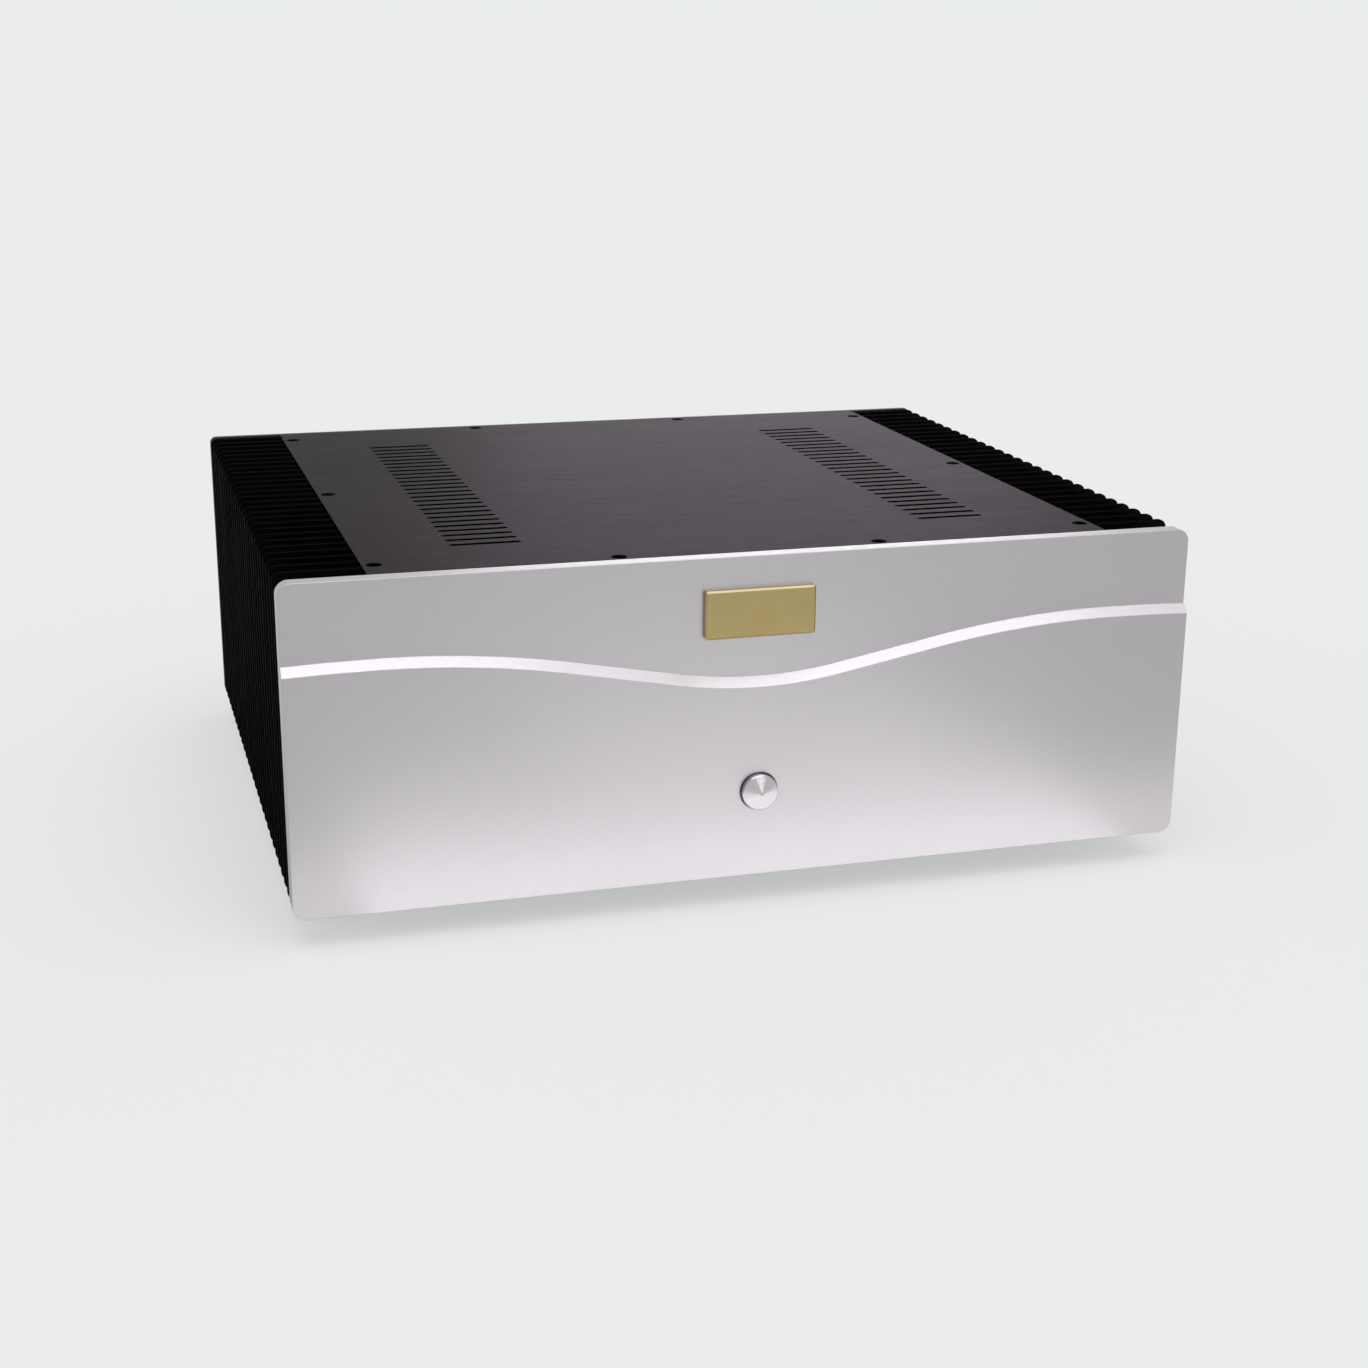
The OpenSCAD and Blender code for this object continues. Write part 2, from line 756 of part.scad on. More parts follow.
module slot_outline() {
    straight = slot_l - slot_w;
    square([straight, slot_w], center = true);
    for (x = [-straight / 2, straight / 2]) translate([x, 0]) circle(d = slot_w);
}

module vented_plate(t) {
    linear_extrude(t)
    difference() {
        translate([-plate_half_w, panel_back_y + plate_gap])
            square([2 * plate_half_w, case_l - 2 * plate_gap]);
        for (x = [-slot_x, slot_x], i = [0:slot_count - 1])
            translate([x, panel_back_y + slot_front + i * slot_pitch]) slot_outline();
    }
}

module top_cover() {
    color("#46464a")
    difference() {
        translate([0, 0, ceiling_z]) vented_plate(cover_t);
        translate([0, 0, case_top_z])
            case_screw_places() countersink(screw_d, screw_head_d, cover_t);
    }
}

module cover_screws() {
    color("#242426")
    translate([0, 0, case_top_z])
        case_screw_places() flat_screw(screw_d, screw_head_d, case_screw_l);
}

module bottom_plate() {
    color("#303032")
    difference() {
        translate([0, 0, case_bottom_z]) vented_plate(bottom_t);
        translate([0, 0, case_bottom_z]) mirror([0, 0, 1])
            case_screw_places() countersink(screw_d, screw_head_d, bottom_t);
        translate([0, 0, case_bottom_z - spare]) {
            foot_places() plain_hole(screw_d, bottom_t + 2 * spare);
            translate([0, toroid_y, 0]) plain_hole(bolt_d, bottom_t + 2 * spare);
            floor_board_places() plain_hole(small_screw_d, bottom_t + 2 * spare);
            rectifier_places() plain_hole(small_screw_d, bottom_t + 2 * spare);
        }
    }
}

module bottom_screws() {
    color("#242426")
    translate([0, 0, case_bottom_z]) mirror([0, 0, 1])
        case_screw_places() flat_screw(screw_d, screw_head_d, case_screw_l);
}

// Profile of the right heat sink, seen from above
module sink_profile() {
    first_y = panel_back_y + fin_front;
    root = fin_root_t / 2;
    tip = fin_tip_t / 2;
    polygon(concat(
        [[fin_root_x, panel_back_y], [inner_x, panel_back_y], [inner_x, rear_inner_y],
            [fin_root_x, rear_inner_y]],
        [for (i = [fin_count - 1:-1:0]) let (y = first_y + i * fin_pitch)
            each [[fin_root_x, y + root], [sink_out_x, y + tip], [sink_out_x, y - tip],
                [fin_root_x, y - root]]]));
}

// Right heat sink: the extruded profile with its outer corners rounded, and its base cut back
// for the cover and the bottom plate
module heat_sink() {
    screw_depth = case_screw_l - cover_t + tap_extra;
    color("#1b1a1c")
    difference() {
        intersection() {
            translate([0, 0, case_bottom_z]) linear_extrude(sink_h) sink_profile();
            translate([0, panel_back_y, case_bottom_z])
                standing_plate(2 * sink_out_x, sink_h, case_l, sink_corner_r);
        }
        for (cut = [[case_bottom_z - spare, floor_z], [ceiling_z, case_top_z + spare]])
            translate([inner_x - spare, panel_back_y - spare, cut[0]])
                cube([sink_base_t + spare, case_l + 2 * spare, cut[1] - cut[0]]);
        for (y = edge_screw_ys) {
            translate([edge_screw_x, y, ceiling_z - screw_depth])
                tapped_hole(screw_d, screw_depth + spare);
            translate([edge_screw_x, y, floor_z - spare]) tapped_hole(screw_d, screw_depth + spare);
        }
        for (z = rear_screw_zs)
            to_front([base_mid_x, rear_inner_y + spare, z])
                tapped_hole(screw_d, rear_screw_l - rear_t + tap_extra + spare);
        for (z = [low_rail_z, high_rail_z])
            translate([inner_x - spare, front_rail_y, z]) rotate([0, 90, 0])
                plain_hole(screw_d, sink_base_t + 2 * spare);
        sink_board_places()
            tapped_hole(small_screw_d, small_screw_l);
        transistor_places() translate([0, 0, transistor_hole_z]) rotate([0, 90, 0])
            tapped_hole(small_screw_d, transistor_screw_l - transistor_t);
    }
}

module heat_sink_left() {
    mirror([1, 0, 0]) heat_sink();
}

module heat_sink_right() {
    heat_sink();
}

// Square rails between the heat sinks, at the front and the rear, under the cover and on the floor
module cross_rails() {
    color("#8c8c90")
    for (y = [front_rail_y, rear_rail_y], z = [low_rail_z, high_rail_z])
        difference() {
            translate([-inner_x, y - rail_w / 2, z - rail_w / 2]) cube([2 * inner_x, rail_w, rail_w]);
            both_sides() {
                translate([end_screw_x, y, z - rail_w / 2 - spare])
                    tapped_hole(screw_d, rail_w + 2 * spare);
                if (y == front_rail_y) {
                    to_back([panel_screw_x, y - rail_w / 2 - spare, z])
                        plain_hole(screw_d, rail_w + 2 * spare);
                    translate([inner_x + spare, y, z]) rotate([0, -90, 0])
                        tapped_hole(screw_d, rail_screw_l - sink_base_t + tap_extra + spare);
                } else {
                    to_back([rear_screw_x, y - rail_w / 2 - spare, z])
                        tapped_hole(screw_d, rail_w + 2 * spare);
                }
            }
        }
}

// Screws of the front panel, of the front rails' ends and of the switch bracket
module frame_screws() {
    color("#242426")
    both_sides() {
        for (z = [low_rail_z, high_rail_z]) {
            to_back([panel_screw_x, front_rail_y + rail_w / 2, z])
                cap_screw(screw_d, screw_head_d, panel_screw_l);
            translate([fin_root_x, front_rail_y, z]) rotate([0, 90, 0])
                cap_screw(screw_d, screw_head_d, rail_screw_l);
        }
        to_back([bracket_screw_x, panel_back_y + bracket_t, button_axis_z])
            cap_screw(small_screw_d, small_head_d, bracket_screw_l);
    }
}

// Places of the rear panel's screws on its outer face, drawn along +Z to the back
module rear_screw_places() {
    for (side = [-1, 1]) {
        for (z = rear_screw_zs) to_back([side * base_mid_x, rear_y, z]) children();
        for (z = [low_rail_z, high_rail_z]) to_back([side * rear_screw_x, rear_y, z]) children();
    }
}

module rear_panel_screws() {
    color("#242426") rear_screw_places() cap_screw(screw_d, screw_head_d, rear_screw_l);
}

module rear_panel() {
    color("#2a2a2c")
    difference() {
        translate([0, rear_inner_y, case_bottom_z])
            standing_plate(2 * sink_out_x, sink_h, rear_t, sink_corner_r);
        rear_screw_places() translate([0, 0, -rear_t - spare]) plain_hole(screw_d, rear_t + 2 * spare);
        terminal_places() translate([0, 0, -rear_t - spare]) plain_hole(spigot_d, rear_t + 2 * spare);
        input_places() translate([0, 0, -rear_t - spare])
            plain_hole(input_spigot_d, rear_t + 2 * spare);
        translate([-inlet_body_w / 2 - hole_gap, rear_inner_y - spare, inlet_z - inlet_low - hole_gap])
            cube([inlet_body_w + 2 * hole_gap, rear_t + 2 * spare, inlet_low + inlet_top + 2 * hole_gap]);
        both_sides() to_front([inlet_screw_pitch / 2, rear_y + spare, inlet_z])
            tapped_hole(small_screw_d, rear_t + 2 * spare);
    }
}

// ---------- Feet ----------

module foot_places() {
    for (x = [-foot_x, foot_x], y = foot_ys) translate([x, y, 0]) children();
}

// Turned foot with a seat for its pad below and a recess for the bolt's head
module feet() {
    low_z = foot_pad_t - foot_pad_seat;
    high_r = foot_d / 2;
    low_r = foot_low_d / 2;
    edge = 1;
    bolt_r = screw_d / 2 + hole_gap;
    pad_r = low_r - 2;
    recess_r = screw_head_d / 2 + 1;
    recess_z = foot_pad_t + foot_recess;
    color("#1e1e20")
    foot_places() rotate_extrude()
        polygon([[low_r - edge, low_z], [low_r, low_z + edge], [high_r, case_bottom_z - edge],
            [high_r - edge, case_bottom_z], [bolt_r, case_bottom_z], [bolt_r, recess_z],
            [recess_r, recess_z], [recess_r, foot_pad_t], [pad_r, foot_pad_t], [pad_r, low_z]]);
}

module foot_pads() {
    color("#101010")
    foot_places() cylinder(h = foot_pad_t, r = foot_low_d / 2 - 2 - plate_gap);
}

// One bolt and one nut in each foot
module foot_bolts() {
    seat_z = foot_pad_t + foot_recess;
    bolt_l = floor_z + foot_nut_t - seat_z + 1;
    color("#b0b0b4")
    foot_places() {
        translate([0, 0, seat_z]) mirror([0, 0, 1]) cap_screw(screw_d, screw_head_d, bolt_l);
        translate([0, 0, floor_z]) nut(screw_head_d, screw_d, foot_nut_t);
    }
}

// ---------- Mains inlet ----------

module inlet_place() {
    translate([0, rear_y, inlet_z]) children();
}

// Outline of the socket, with its two upper corners bevelled
module socket_outline() {
    x = socket_w / 2;
    z = socket_h / 2;
    polygon([[-x, -z], [x, -z], [x, z - socket_bevel], [x - socket_bevel, z],
        [socket_bevel - x, z], [-x, z - socket_bevel]]);
}

// Middles of the three contact pins, as X and Z in the socket
function pin_places() = [[-pin_pitch / 2, -pin_rise / 2], [pin_pitch / 2, -pin_rise / 2],
    [0, pin_rise / 2]];

module mains_inlet() {
    floor_y = flange_t - socket_depth;
    color("#161618")
    inlet_place()
    difference() {
        union() {
            translate([0, 0, -flange_low])
                standing_plate(flange_w, flange_low + flange_top, flange_t, 3);
            translate([-inlet_body_w / 2, -inlet_body_l, -inlet_low])
                cube([inlet_body_w, inlet_body_l + spare, inlet_low + inlet_top]);
        }
        translate([0, flange_t + spare, 0]) rotate([90, 0, 0])
            linear_extrude(socket_depth + spare) socket_outline();
        for (p = pin_places())
            translate([p[0] - pin_w / 2 - thread_gap, -inlet_body_l - spare,
                p[1] - pin_h / 2 - thread_gap])
                cube([pin_w + 2 * thread_gap, inlet_body_l + floor_y + 2 * spare,
                    pin_h + 2 * thread_gap]);
        translate([-drawer_w / 2 - drawer_gap, flange_t - drawer_l - drawer_gap,
            -drawer_mid - drawer_h / 2 - drawer_gap])
            cube([drawer_w + 2 * drawer_gap, drawer_l + drawer_gap + spare,
                drawer_h + 2 * drawer_gap]);
        both_sides() translate([inlet_screw_pitch / 2, flange_t, 0]) rotate([-90, 0, 0])
            countersink(small_screw_d, small_head_d, flange_t);
    }
}

module inlet_pins() {
    color("#c8a850")
    inlet_place()
    for (p = pin_places())
        translate([p[0] - pin_w / 2, flange_t - pin_inset - pin_length, p[1] - pin_h / 2])
            cube([pin_w, pin_length, pin_h]);
}

module inlet_screws() {
    color("#242426")
    inlet_place() both_sides()
        translate([inlet_screw_pitch / 2, flange_t, 0]) rotate([-90, 0, 0])
            flat_screw(small_screw_d, small_head_d, flange_t + rear_t);
}

// Tray with a face plate, a finger lip and a pocket for the fuse across its inner end
module fuse_drawer() {
    color("#161618")
    inlet_place() translate([0, flange_t, -drawer_mid])
    difference() {
        union() {
            translate([-drawer_w / 2, -drawer_l, -drawer_h / 2])
                cube([drawer_w, drawer_l + drawer_gap + spare, drawer_h]);
            translate([0, drawer_gap, -drawer_face_h / 2])
                standing_plate(drawer_face_w, drawer_face_h, drawer_face_t, 1);
            translate([-drawer_w / 4, drawer_gap + drawer_face_t - spare, -drawer_face_h / 2])
                cube([drawer_w / 2, drawer_lip_l + spare, drawer_lip_t]);
        }
        translate([-fuse_l / 2 - fuse_gap, drawer_wall - drawer_l, drawer_floor_t - drawer_h / 2])
            cube([fuse_l + 2 * fuse_gap, fuse_d + 2 * fuse_gap, drawer_h]);
    }
}

// Glass tube between two metal caps
module fuse() {
    cap_r = fuse_d / 2;
    glass_r = cap_r - 0.2;
    color("#d8d8d0")
    inlet_place() translate([-fuse_l / 2, fuse_y, fuse_z])
    rotate([0, 90, 0]) rotate_extrude($fn = small_fn)
        polygon([[0, 0], [cap_r, 0], [cap_r, fuse_cap_l], [glass_r, fuse_cap_l],
            [glass_r, fuse_l - fuse_cap_l], [cap_r, fuse_l - fuse_cap_l],
            [cap_r, fuse_l], [0, fuse_l]]);
}

// ---------- Signal sockets ----------

module input_places() {
    for (x = [-input_x, input_x]) to_back([x, rear_y, input_z]) children();
}

module input_shells() {
    shell_r = input_shell_d / 2;
    start = input_washer_t + input_flange_t;
    color("#c8a850")
    input_places() rotate_extrude()
        polygon([[0, -input_tail_l], [input_tail_d / 2, -input_tail_l],
            [input_tail_d / 2, input_washer_t], [input_flange_d / 2, input_washer_t],
            [input_flange_d / 2, start], [shell_r, start], [shell_r, start + input_shell_l],
            [shell_r - input_wall, start + input_shell_l], [shell_r - input_wall, start],
            [0, start]]);
}

module input_cores() {
    core_r = input_shell_d / 2 - input_wall - thread_gap;
    bore_r = input_bore_d / 2;
    start = input_washer_t + input_flange_t;
    depth = input_shell_l - 0.5;
    color("#e6e6e2")
    input_places() translate([0, 0, start]) rotate_extrude()
        polygon([[0, 0], [core_r, 0], [core_r, depth], [bore_r, depth], [bore_r, 1], [0, 1]]);
}

// Insulating washers on both sides of the rear panel; the outer one has a spigot in its hole
module input_washers() {
    bore_r = input_tail_d / 2 + thread_gap;
    color("#303032")
    input_places() {
        rotate_extrude()
            polygon([[bore_r, -rear_t], [input_spigot_d / 2, -rear_t], [input_spigot_d / 2, 0],
                [input_washer_d / 2, 0], [input_washer_d / 2, input_washer_t],
                [bore_r, input_washer_t]]);
        translate([0, 0, -rear_t - input_washer_t])
            ring(input_washer_d, input_tail_d + 2 * thread_gap, input_washer_t);
    }
}

module input_nuts() {
    color("#c8a850")
    input_places() translate([0, 0, -rear_t - input_washer_t - input_nut_t])
        nut(input_nut_w, input_tail_d, input_nut_t);
}

// ---------- Loudspeaker terminals ----------

// Distance of a terminal from the middle; the plus terminals are the outer ones
function terminal_place(side, sign) = side * (terminal_x + sign * terminal_pitch / 2);

module at_terminal(side, sign) {
    to_back([terminal_place(side, sign), rear_y, terminal_z]) children();
}

module terminal_places() {
    for (side = [-1, 1], sign = [-1, 1]) at_terminal(side, sign) children();
}

module terminal_insulators() {
    bore_r = post_d / 2 + post_gap;
    color("#202022")
    terminal_places() {
        rotate_extrude()
            polygon([[bore_r, -rear_t], [spigot_d / 2, -rear_t], [spigot_d / 2, 0],
                [insulator_d / 2, 0], [insulator_d / 2, insulator_t - 1],
                [insulator_d / 2 - 1, insulator_t], [bore_r, insulator_t]]);
        translate([0, 0, -rear_t - inner_insulator_t])
            ring(insulator_d, post_d + 2 * post_gap, inner_insulator_t);
    }
}

// Post with a collar, a plug's hole in its end and a wire's hole across it
module terminal_posts() {
    post_r = post_d / 2;
    color("#c8a850")
    terminal_places()
    difference() {
        rotate_extrude()
            polygon([[0, -post_tail], [post_r, -post_tail], [post_r, insulator_t],
                [collar_d / 2, insulator_t], [collar_d / 2, collar_end], [post_r, collar_end],
                [post_r, post_proud - 0.5], [post_r - 0.5, post_proud], [0, post_proud]]);
        translate([0, 0, post_proud - plug_bore_l]) cylinder(h = plug_bore_l + spare, d = plug_bore_d);
        translate([0, 0, wire_hole_pos]) rotate([90, 0, 0])
            cylinder(h = post_d + 2 * spare, d = wire_hole_d, center = true);
    }
}

module terminal_nuts() {
    color("#c8a850")
    terminal_places() translate([0, 0, -rear_t - inner_insulator_t - post_nut_t])
        nut(post_nut_w, post_d, post_nut_t);
}

module clamp_washer(side, sign) {
    color("#c8a850")
    at_terminal(side, sign) translate([0, 0, clamp_start])
        ring(collar_d, post_d + 2 * post_gap, clamp_t);
}

// Knob with grooves for the fingers between a smooth collar and a bevelled end
module terminal_knob(side, sign, tint) {
    length = knob_end - knob_start;
    knob_r = knob_d / 2;
    grip_r = knob_r - 0.4;
    skirt = 4;
    groove_d = 2;
    color(tint)
    at_terminal(side, sign) translate([0, 0, knob_start])
    difference() {
        rotate_extrude()
            polygon([[post_d / 2 + post_gap, 0], [knob_r - 0.6, 0], [knob_r, 0.6], [knob_r, skirt],
                [grip_r, skirt + 0.4], [grip_r, length - 1], [grip_r - 1, length],
                [post_d / 2 + post_gap, length]]);
        for (i = [0:knob_grooves - 1]) rotate([0, 0, (i + 0.5) * 360 / knob_grooves])
            translate([knob_r, 0, skirt + 1]) cylinder(h = length, d = groove_d, $fn = small_fn);
    }
}

// ---------- Transformer ----------

module transformer() {
    hole_r = toroid_hole_d / 2;
    width = (toroid_d - toroid_hole_d) / 2;
    color("#b5651d")
    translate([0, toroid_y, toroid_z])
    rotate_extrude() translate([hole_r + width / 2, 0])
        rounded_outline(width, toroid_h, toroid_round);
}

module transformer_pads() {
    pad_d = toroid_d - 2 * toroid_round;
    color("#202020")
    for (z = [floor_z, toroid_top_z]) translate([0, toroid_y, z])
        ring(pad_d, toroid_hole_d, toroid_pad_t);
}

// Pressed plate whose middle dips into the ring's hole
module transformer_dish() {
    rim = dish_d / 2;
    knee = toroid_hole_d / 2 - 0.5;
    bottom = dish_floor_d / 2;
    bore = bolt_d / 2 + hole_gap;
    color("#c0c0c4")
    translate([0, toroid_y, dish_z]) rotate_extrude()
        polygon([[knee, 0], [rim, 0], [rim, dish_t], [knee - 1, dish_t],
            [bottom, dish_t - dish_depth], [bore, dish_t - dish_depth], [bore, -dish_depth],
            [bottom + 0.5, -dish_depth]]);
}

// The clamping bolt, with its head below the bottom plate, and its nut in the dish
module transformer_bolt() {
    nut_z = dish_z + dish_t - dish_depth;
    head_d = bolt_d * 1.7;
    color("#b0b0b4")
    translate([0, toroid_y, 0]) {
        translate([0, 0, case_bottom_z - bolt_head_t]) cylinder(h = bolt_head_t, d = head_d);
        translate([0, 0, case_bottom_z - spare])
            cylinder(h = nut_z + bolt_nut_t + 2 - case_bottom_z + spare, d = bolt_d);
        translate([0, 0, nut_z]) nut(bolt_d * 1.6, bolt_d, bolt_nut_t);
    }
}

// ---------- Boards ----------

// Corners of a board, for its standoffs and screws
module corner_places(w, l) {
    for (x = [board_hole_inset - w / 2, w / 2 - board_hole_inset],
        y = [board_hole_inset - l / 2, l / 2 - board_hole_inset]) translate([x, y, 0]) children();
}

module floor_board_places() {
    translate([0, supply_y, 0]) corner_places(supply_w, supply_l) children();
    translate([0, protection_y, 0]) corner_places(protection_w, protection_l) children();
}

// Places of the right amplifier board's standoffs on the heat sink, drawn along +Z to the right
module sink_board_places() {
    translate([inner_x, amp_board_y, amp_board_z + amp_board_h / 2]) rotate([0, 90, 0])
        corner_places(amp_board_h, amp_board_l) children();
}

module flat_board(w, l) {
    linear_extrude(board_t)
    difference() {
        square([w, l], center = true);
        corner_places(w, l) circle(d = small_screw_d + 2 * hole_gap);
    }
}

module supply_board() {
    color("#1f6b3a") translate([0, supply_y, board_z]) flat_board(supply_w, supply_l);
}

module protection_board() {
    color("#1f6b3a") translate([0, protection_y, board_z]) flat_board(protection_w, protection_l);
}

module amplifier_board() {
    color("#1f6b3a")
    translate([amp_board_inner_x, amp_board_y, amp_board_z + amp_board_h / 2]) rotate([0, 90, 0])
    difference() {
        flat_board(amp_board_h, amp_board_l);
        for (i = [-1.5:1:1.5], k = [-1:1])
            translate([transistor_leg_row(), i * transistor_pitch + k * transistor_leg_pitch, -spare])
                plain_hole(transistor_leg_d, board_t + 2 * spare);
    }
}

// Height of the transistors' legs in the board, seen from the board's middle
function transistor_leg_row() = amp_board_z + amp_board_h / 2
    - (transistor_low_z + transistor_h + 3);

module amplifier_board_left() {
    mirror([1, 0, 0]) amplifier_board();
}

module amplifier_board_right() {
    amplifier_board();
}

// Standoffs under the floor boards and between the amplifier boards and their heat sinks
module board_standoffs() {
    color("#c0c0c4") {
        translate([0, 0, floor_z]) floor_board_places() standoff(board_lift);
        both_sides() translate([-amp_board_gap, 0, 0]) sink_board_places() standoff(amp_board_gap);
    }
}

module standoff(l) {
    difference() {
        cylinder(h = l, d = standoff_d, $fn = 6);
        translate([0, 0, -spare]) tapped_hole(small_screw_d, l + 2 * spare);
    }
}

// Screws of the boards, the rectifiers and the output transistors
module board_screws() {
    floor_screw_l = bottom_t + 2.5;
    color("#b0b0b4") {
        translate([0, 0, board_top_z]) floor_board_places()
            cap_screw(small_screw_d, small_head_d, board_t + 3);
        translate([0, 0, case_bottom_z]) mirror([0, 0, 1]) floor_board_places()
            cap_screw(small_screw_d, small_head_d, floor_screw_l);
        translate([0, 0, case_bottom_z]) mirror([0, 0, 1]) rectifier_places()
            cap_screw(small_screw_d, small_head_d, bottom_t + rectifier_h - 3);
        both_sides() {
            translate([-amp_board_gap - board_t, 0, 0]) sink_board_places() mirror([0, 0, 1])
                cap_screw(small_screw_d, small_head_d, board_t + 5);
            translate([-transistor_pad_t - transistor_t, 0, 0]) transistor_places()
                translate([0, 0, transistor_hole_z]) rotate([0, -90, 0])
                cap_screw(small_screw_d, small_head_d, transistor_screw_l - 1);
        }
    }
}

// Beaded aluminium cans in two rows
module filter_capacitors() {
    r = cap_d / 2;
    bead = 0.8;
    neck_z = 4;
    color("#23262e")
    for (i = [-1:1], k = [-0.5, 0.5])
        translate([i * cap_pitch, supply_y + k * cap_pitch, board_top_z])
        rotate_extrude()
            polygon([[0, 0], [r, 0], [r, neck_z], [r - bead, neck_z + bead], [r, neck_z + 2 * bead],
                [r, cap_h - bead], [r - bead, cap_h], [r - 2 * bead, cap_h],
                [r - 2 * bead, cap_h - bead / 2], [0, cap_h - bead / 2]]);
}

module rectifier_places() {
    for (x = [-rectifier_x, rectifier_x]) translate([x, rectifier_y, 0]) children();
}

// Square rectifiers with a bevelled corner and four tabs
module rectifiers() {
    half = rectifier_w / 2;
    cut = 5;
    color("#3a3a3e")
    translate([0, 0, floor_z]) rectifier_places()
    difference() {
        union() {
            linear_extrude(rectifier_h)
                polygon([[-half, -half], [half, -half], [half, half - cut], [half - cut, half],
                    [-half, half]]);
            for (x = [-rectifier_tab, rectifier_tab], y = [-rectifier_tab, rectifier_tab])
                translate([x - 3, y - 0.4, rectifier_h - spare])
                    cube([6, 0.8, rectifier_tab_h + spare]);
        }
        translate([0, 0, -spare]) tapped_hole(small_screw_d, rectifier_h - 1);
    }
}

module relays() {
    color("#2b4f7a")
    for (x = [-relay_x, relay_x])
        translate([x, protection_y, board_top_z])
            translate([-relay_l / 2, -relay_w / 2, 0]) cube([relay_l, relay_w, relay_h]);
}

// Foot of each output transistor of the right side, on the heat sink's inner face
module transistor_places() {
    for (y = transistor_ys) translate([inner_x, y, transistor_low_z]) children();
}

// Flat cases with three legs that bend over to the board
module output_transistors() {
    leg_z = transistor_h + 3;
    leg_x = -transistor_pad_t - transistor_t / 2;
    color("#202022")
    both_sides() transistor_places() {
        difference() {
            translate([-transistor_pad_t - transistor_t, -transistor_w / 2, 0])
                cube([transistor_t, transistor_w, transistor_h]);
            translate([-transistor_pad_t - transistor_t - spare, 0, transistor_hole_z])
                rotate([0, 90, 0]) plain_hole(small_screw_d, transistor_t + 2 * spare);
        }
        for (k = [-1:1]) translate([leg_x, k * transistor_leg_pitch, 0]) {
            translate([-transistor_leg_d / 2, -transistor_leg_d / 2, transistor_h - spare])
                cube([transistor_leg_d, transistor_leg_d, leg_z - transistor_h + spare
                    + transistor_leg_d / 2]);
            translate([-amp_board_gap - board_t - leg_x - 1.5, -transistor_leg_d / 2,
                leg_z - transistor_leg_d / 2])
                cube([amp_board_gap + board_t + leg_x + 1.5 + transistor_leg_d / 2,
                    transistor_leg_d, transistor_leg_d]);
        }
    }
}

module transistor_pads() {
    margin = 1.5;
    color("#d9d9d4")
    both_sides() transistor_places()
    difference() {
        translate([-transistor_pad_t, -transistor_w / 2 - margin, -margin])
            cube([transistor_pad_t, transistor_w + 2 * margin, transistor_h + 2 * margin]);
        translate([-transistor_pad_t - spare, 0, transistor_hole_z]) rotate([0, 90, 0])
            plain_hole(small_screw_d, transistor_pad_t + 2 * spare);
    }
}

// Ceramic-cased resistors on the inner side of the amplifier boards
module emitter_resistors() {
    color("#e8e6de")
    both_sides()
    for (y = transistor_ys)
        translate([amp_board_inner_x - resistor_t, y - resistor_w / 2, resistor_z])
            cube([resistor_t, resistor_w, resistor_l]);
}

// ---------- Leads ----------

// Point on the ring transformer's side, at an angle from +X
function toroid_point(angle, z, out) = [
    (toroid_d / 2 + out) * cos(angle), toroid_y + (toroid_d / 2 + out) * sin(angle), z];

// From the inlet along the floor to the switch, from the switch to the transformer, and the
// earth lead to the floor
module mains_leads() {
    earth_y = supply_back_y + board_space / 2;
    earth_z = inlet_z + pin_rise / 2;
    color("#7a3b1e")
    for (i = [0, 1]) let (
        pin = pin_places()[i],
        pin_z = inlet_z + pin[1],
        x = -lane_x - i * lane_step,
        lug = button_axis_z + (i == 0 ? lug_z : -lug_z)) {
        lead([
            [pin[0], pin_end_y, pin_z],
            [pin[0], pin_end_y - (0.9 - 0.4 * i) * turn, pin_z],
            [-4 * turn, pin_end_y - (1.6 - 0.8 * i) * turn, inlet_z - 1.6 * turn],
            [x + 0.7 * turn, pin_end_y - 2.6 * turn, inlet_z - 4.2 * turn],
            [x, supply_y + 3 * turn, lead_floor_z],
            [x, toroid_y - 2 * turn, lead_floor_z],
            [x, toroid_y - 7 * turn, lead_floor_z],
            [-(6 + 0.8 * i) * turn, lug_end_y - (0.4 + 0.8 * i) * turn,
                floor_z + (1.4 - 0.6 * i) * turn],
            [-2.4 * turn, lug_end_y + 0.1 * turn, lug - 0.6 * turn],
            [-lug_x, lug_end_y + 0.6 * turn, lug],
            [-lug_x, lug_end_y, lug]]);
        lead([
            [lug_x, lug_end_y, lug],
            [lug_x, lug_end_y + 0.6 * turn, lug],
            [2.8 * turn, lug_end_y + 0.2 * turn, lug - 0.3 * turn],
            toroid_point(-52, lug - 0.7 * turn, 0.8 * turn),
            toroid_point(-45, lug - 0.8 * turn, 0.7 * turn),
            toroid_point(-45, lug - 0.8 * turn, end_gap)]);
    }
    color("olivedrab")
    lead([
        [0, pin_end_y, earth_z],
        [0, pin_end_y - 0.9 * turn, earth_z],
        [1.5 * turn, earth_y + 0.05 * turn, inlet_z - 2 * turn],
        [2 * turn, earth_y, floor_z + 1.4 * turn],
        [2 * turn, earth_y, floor_z + end_gap]]);
}

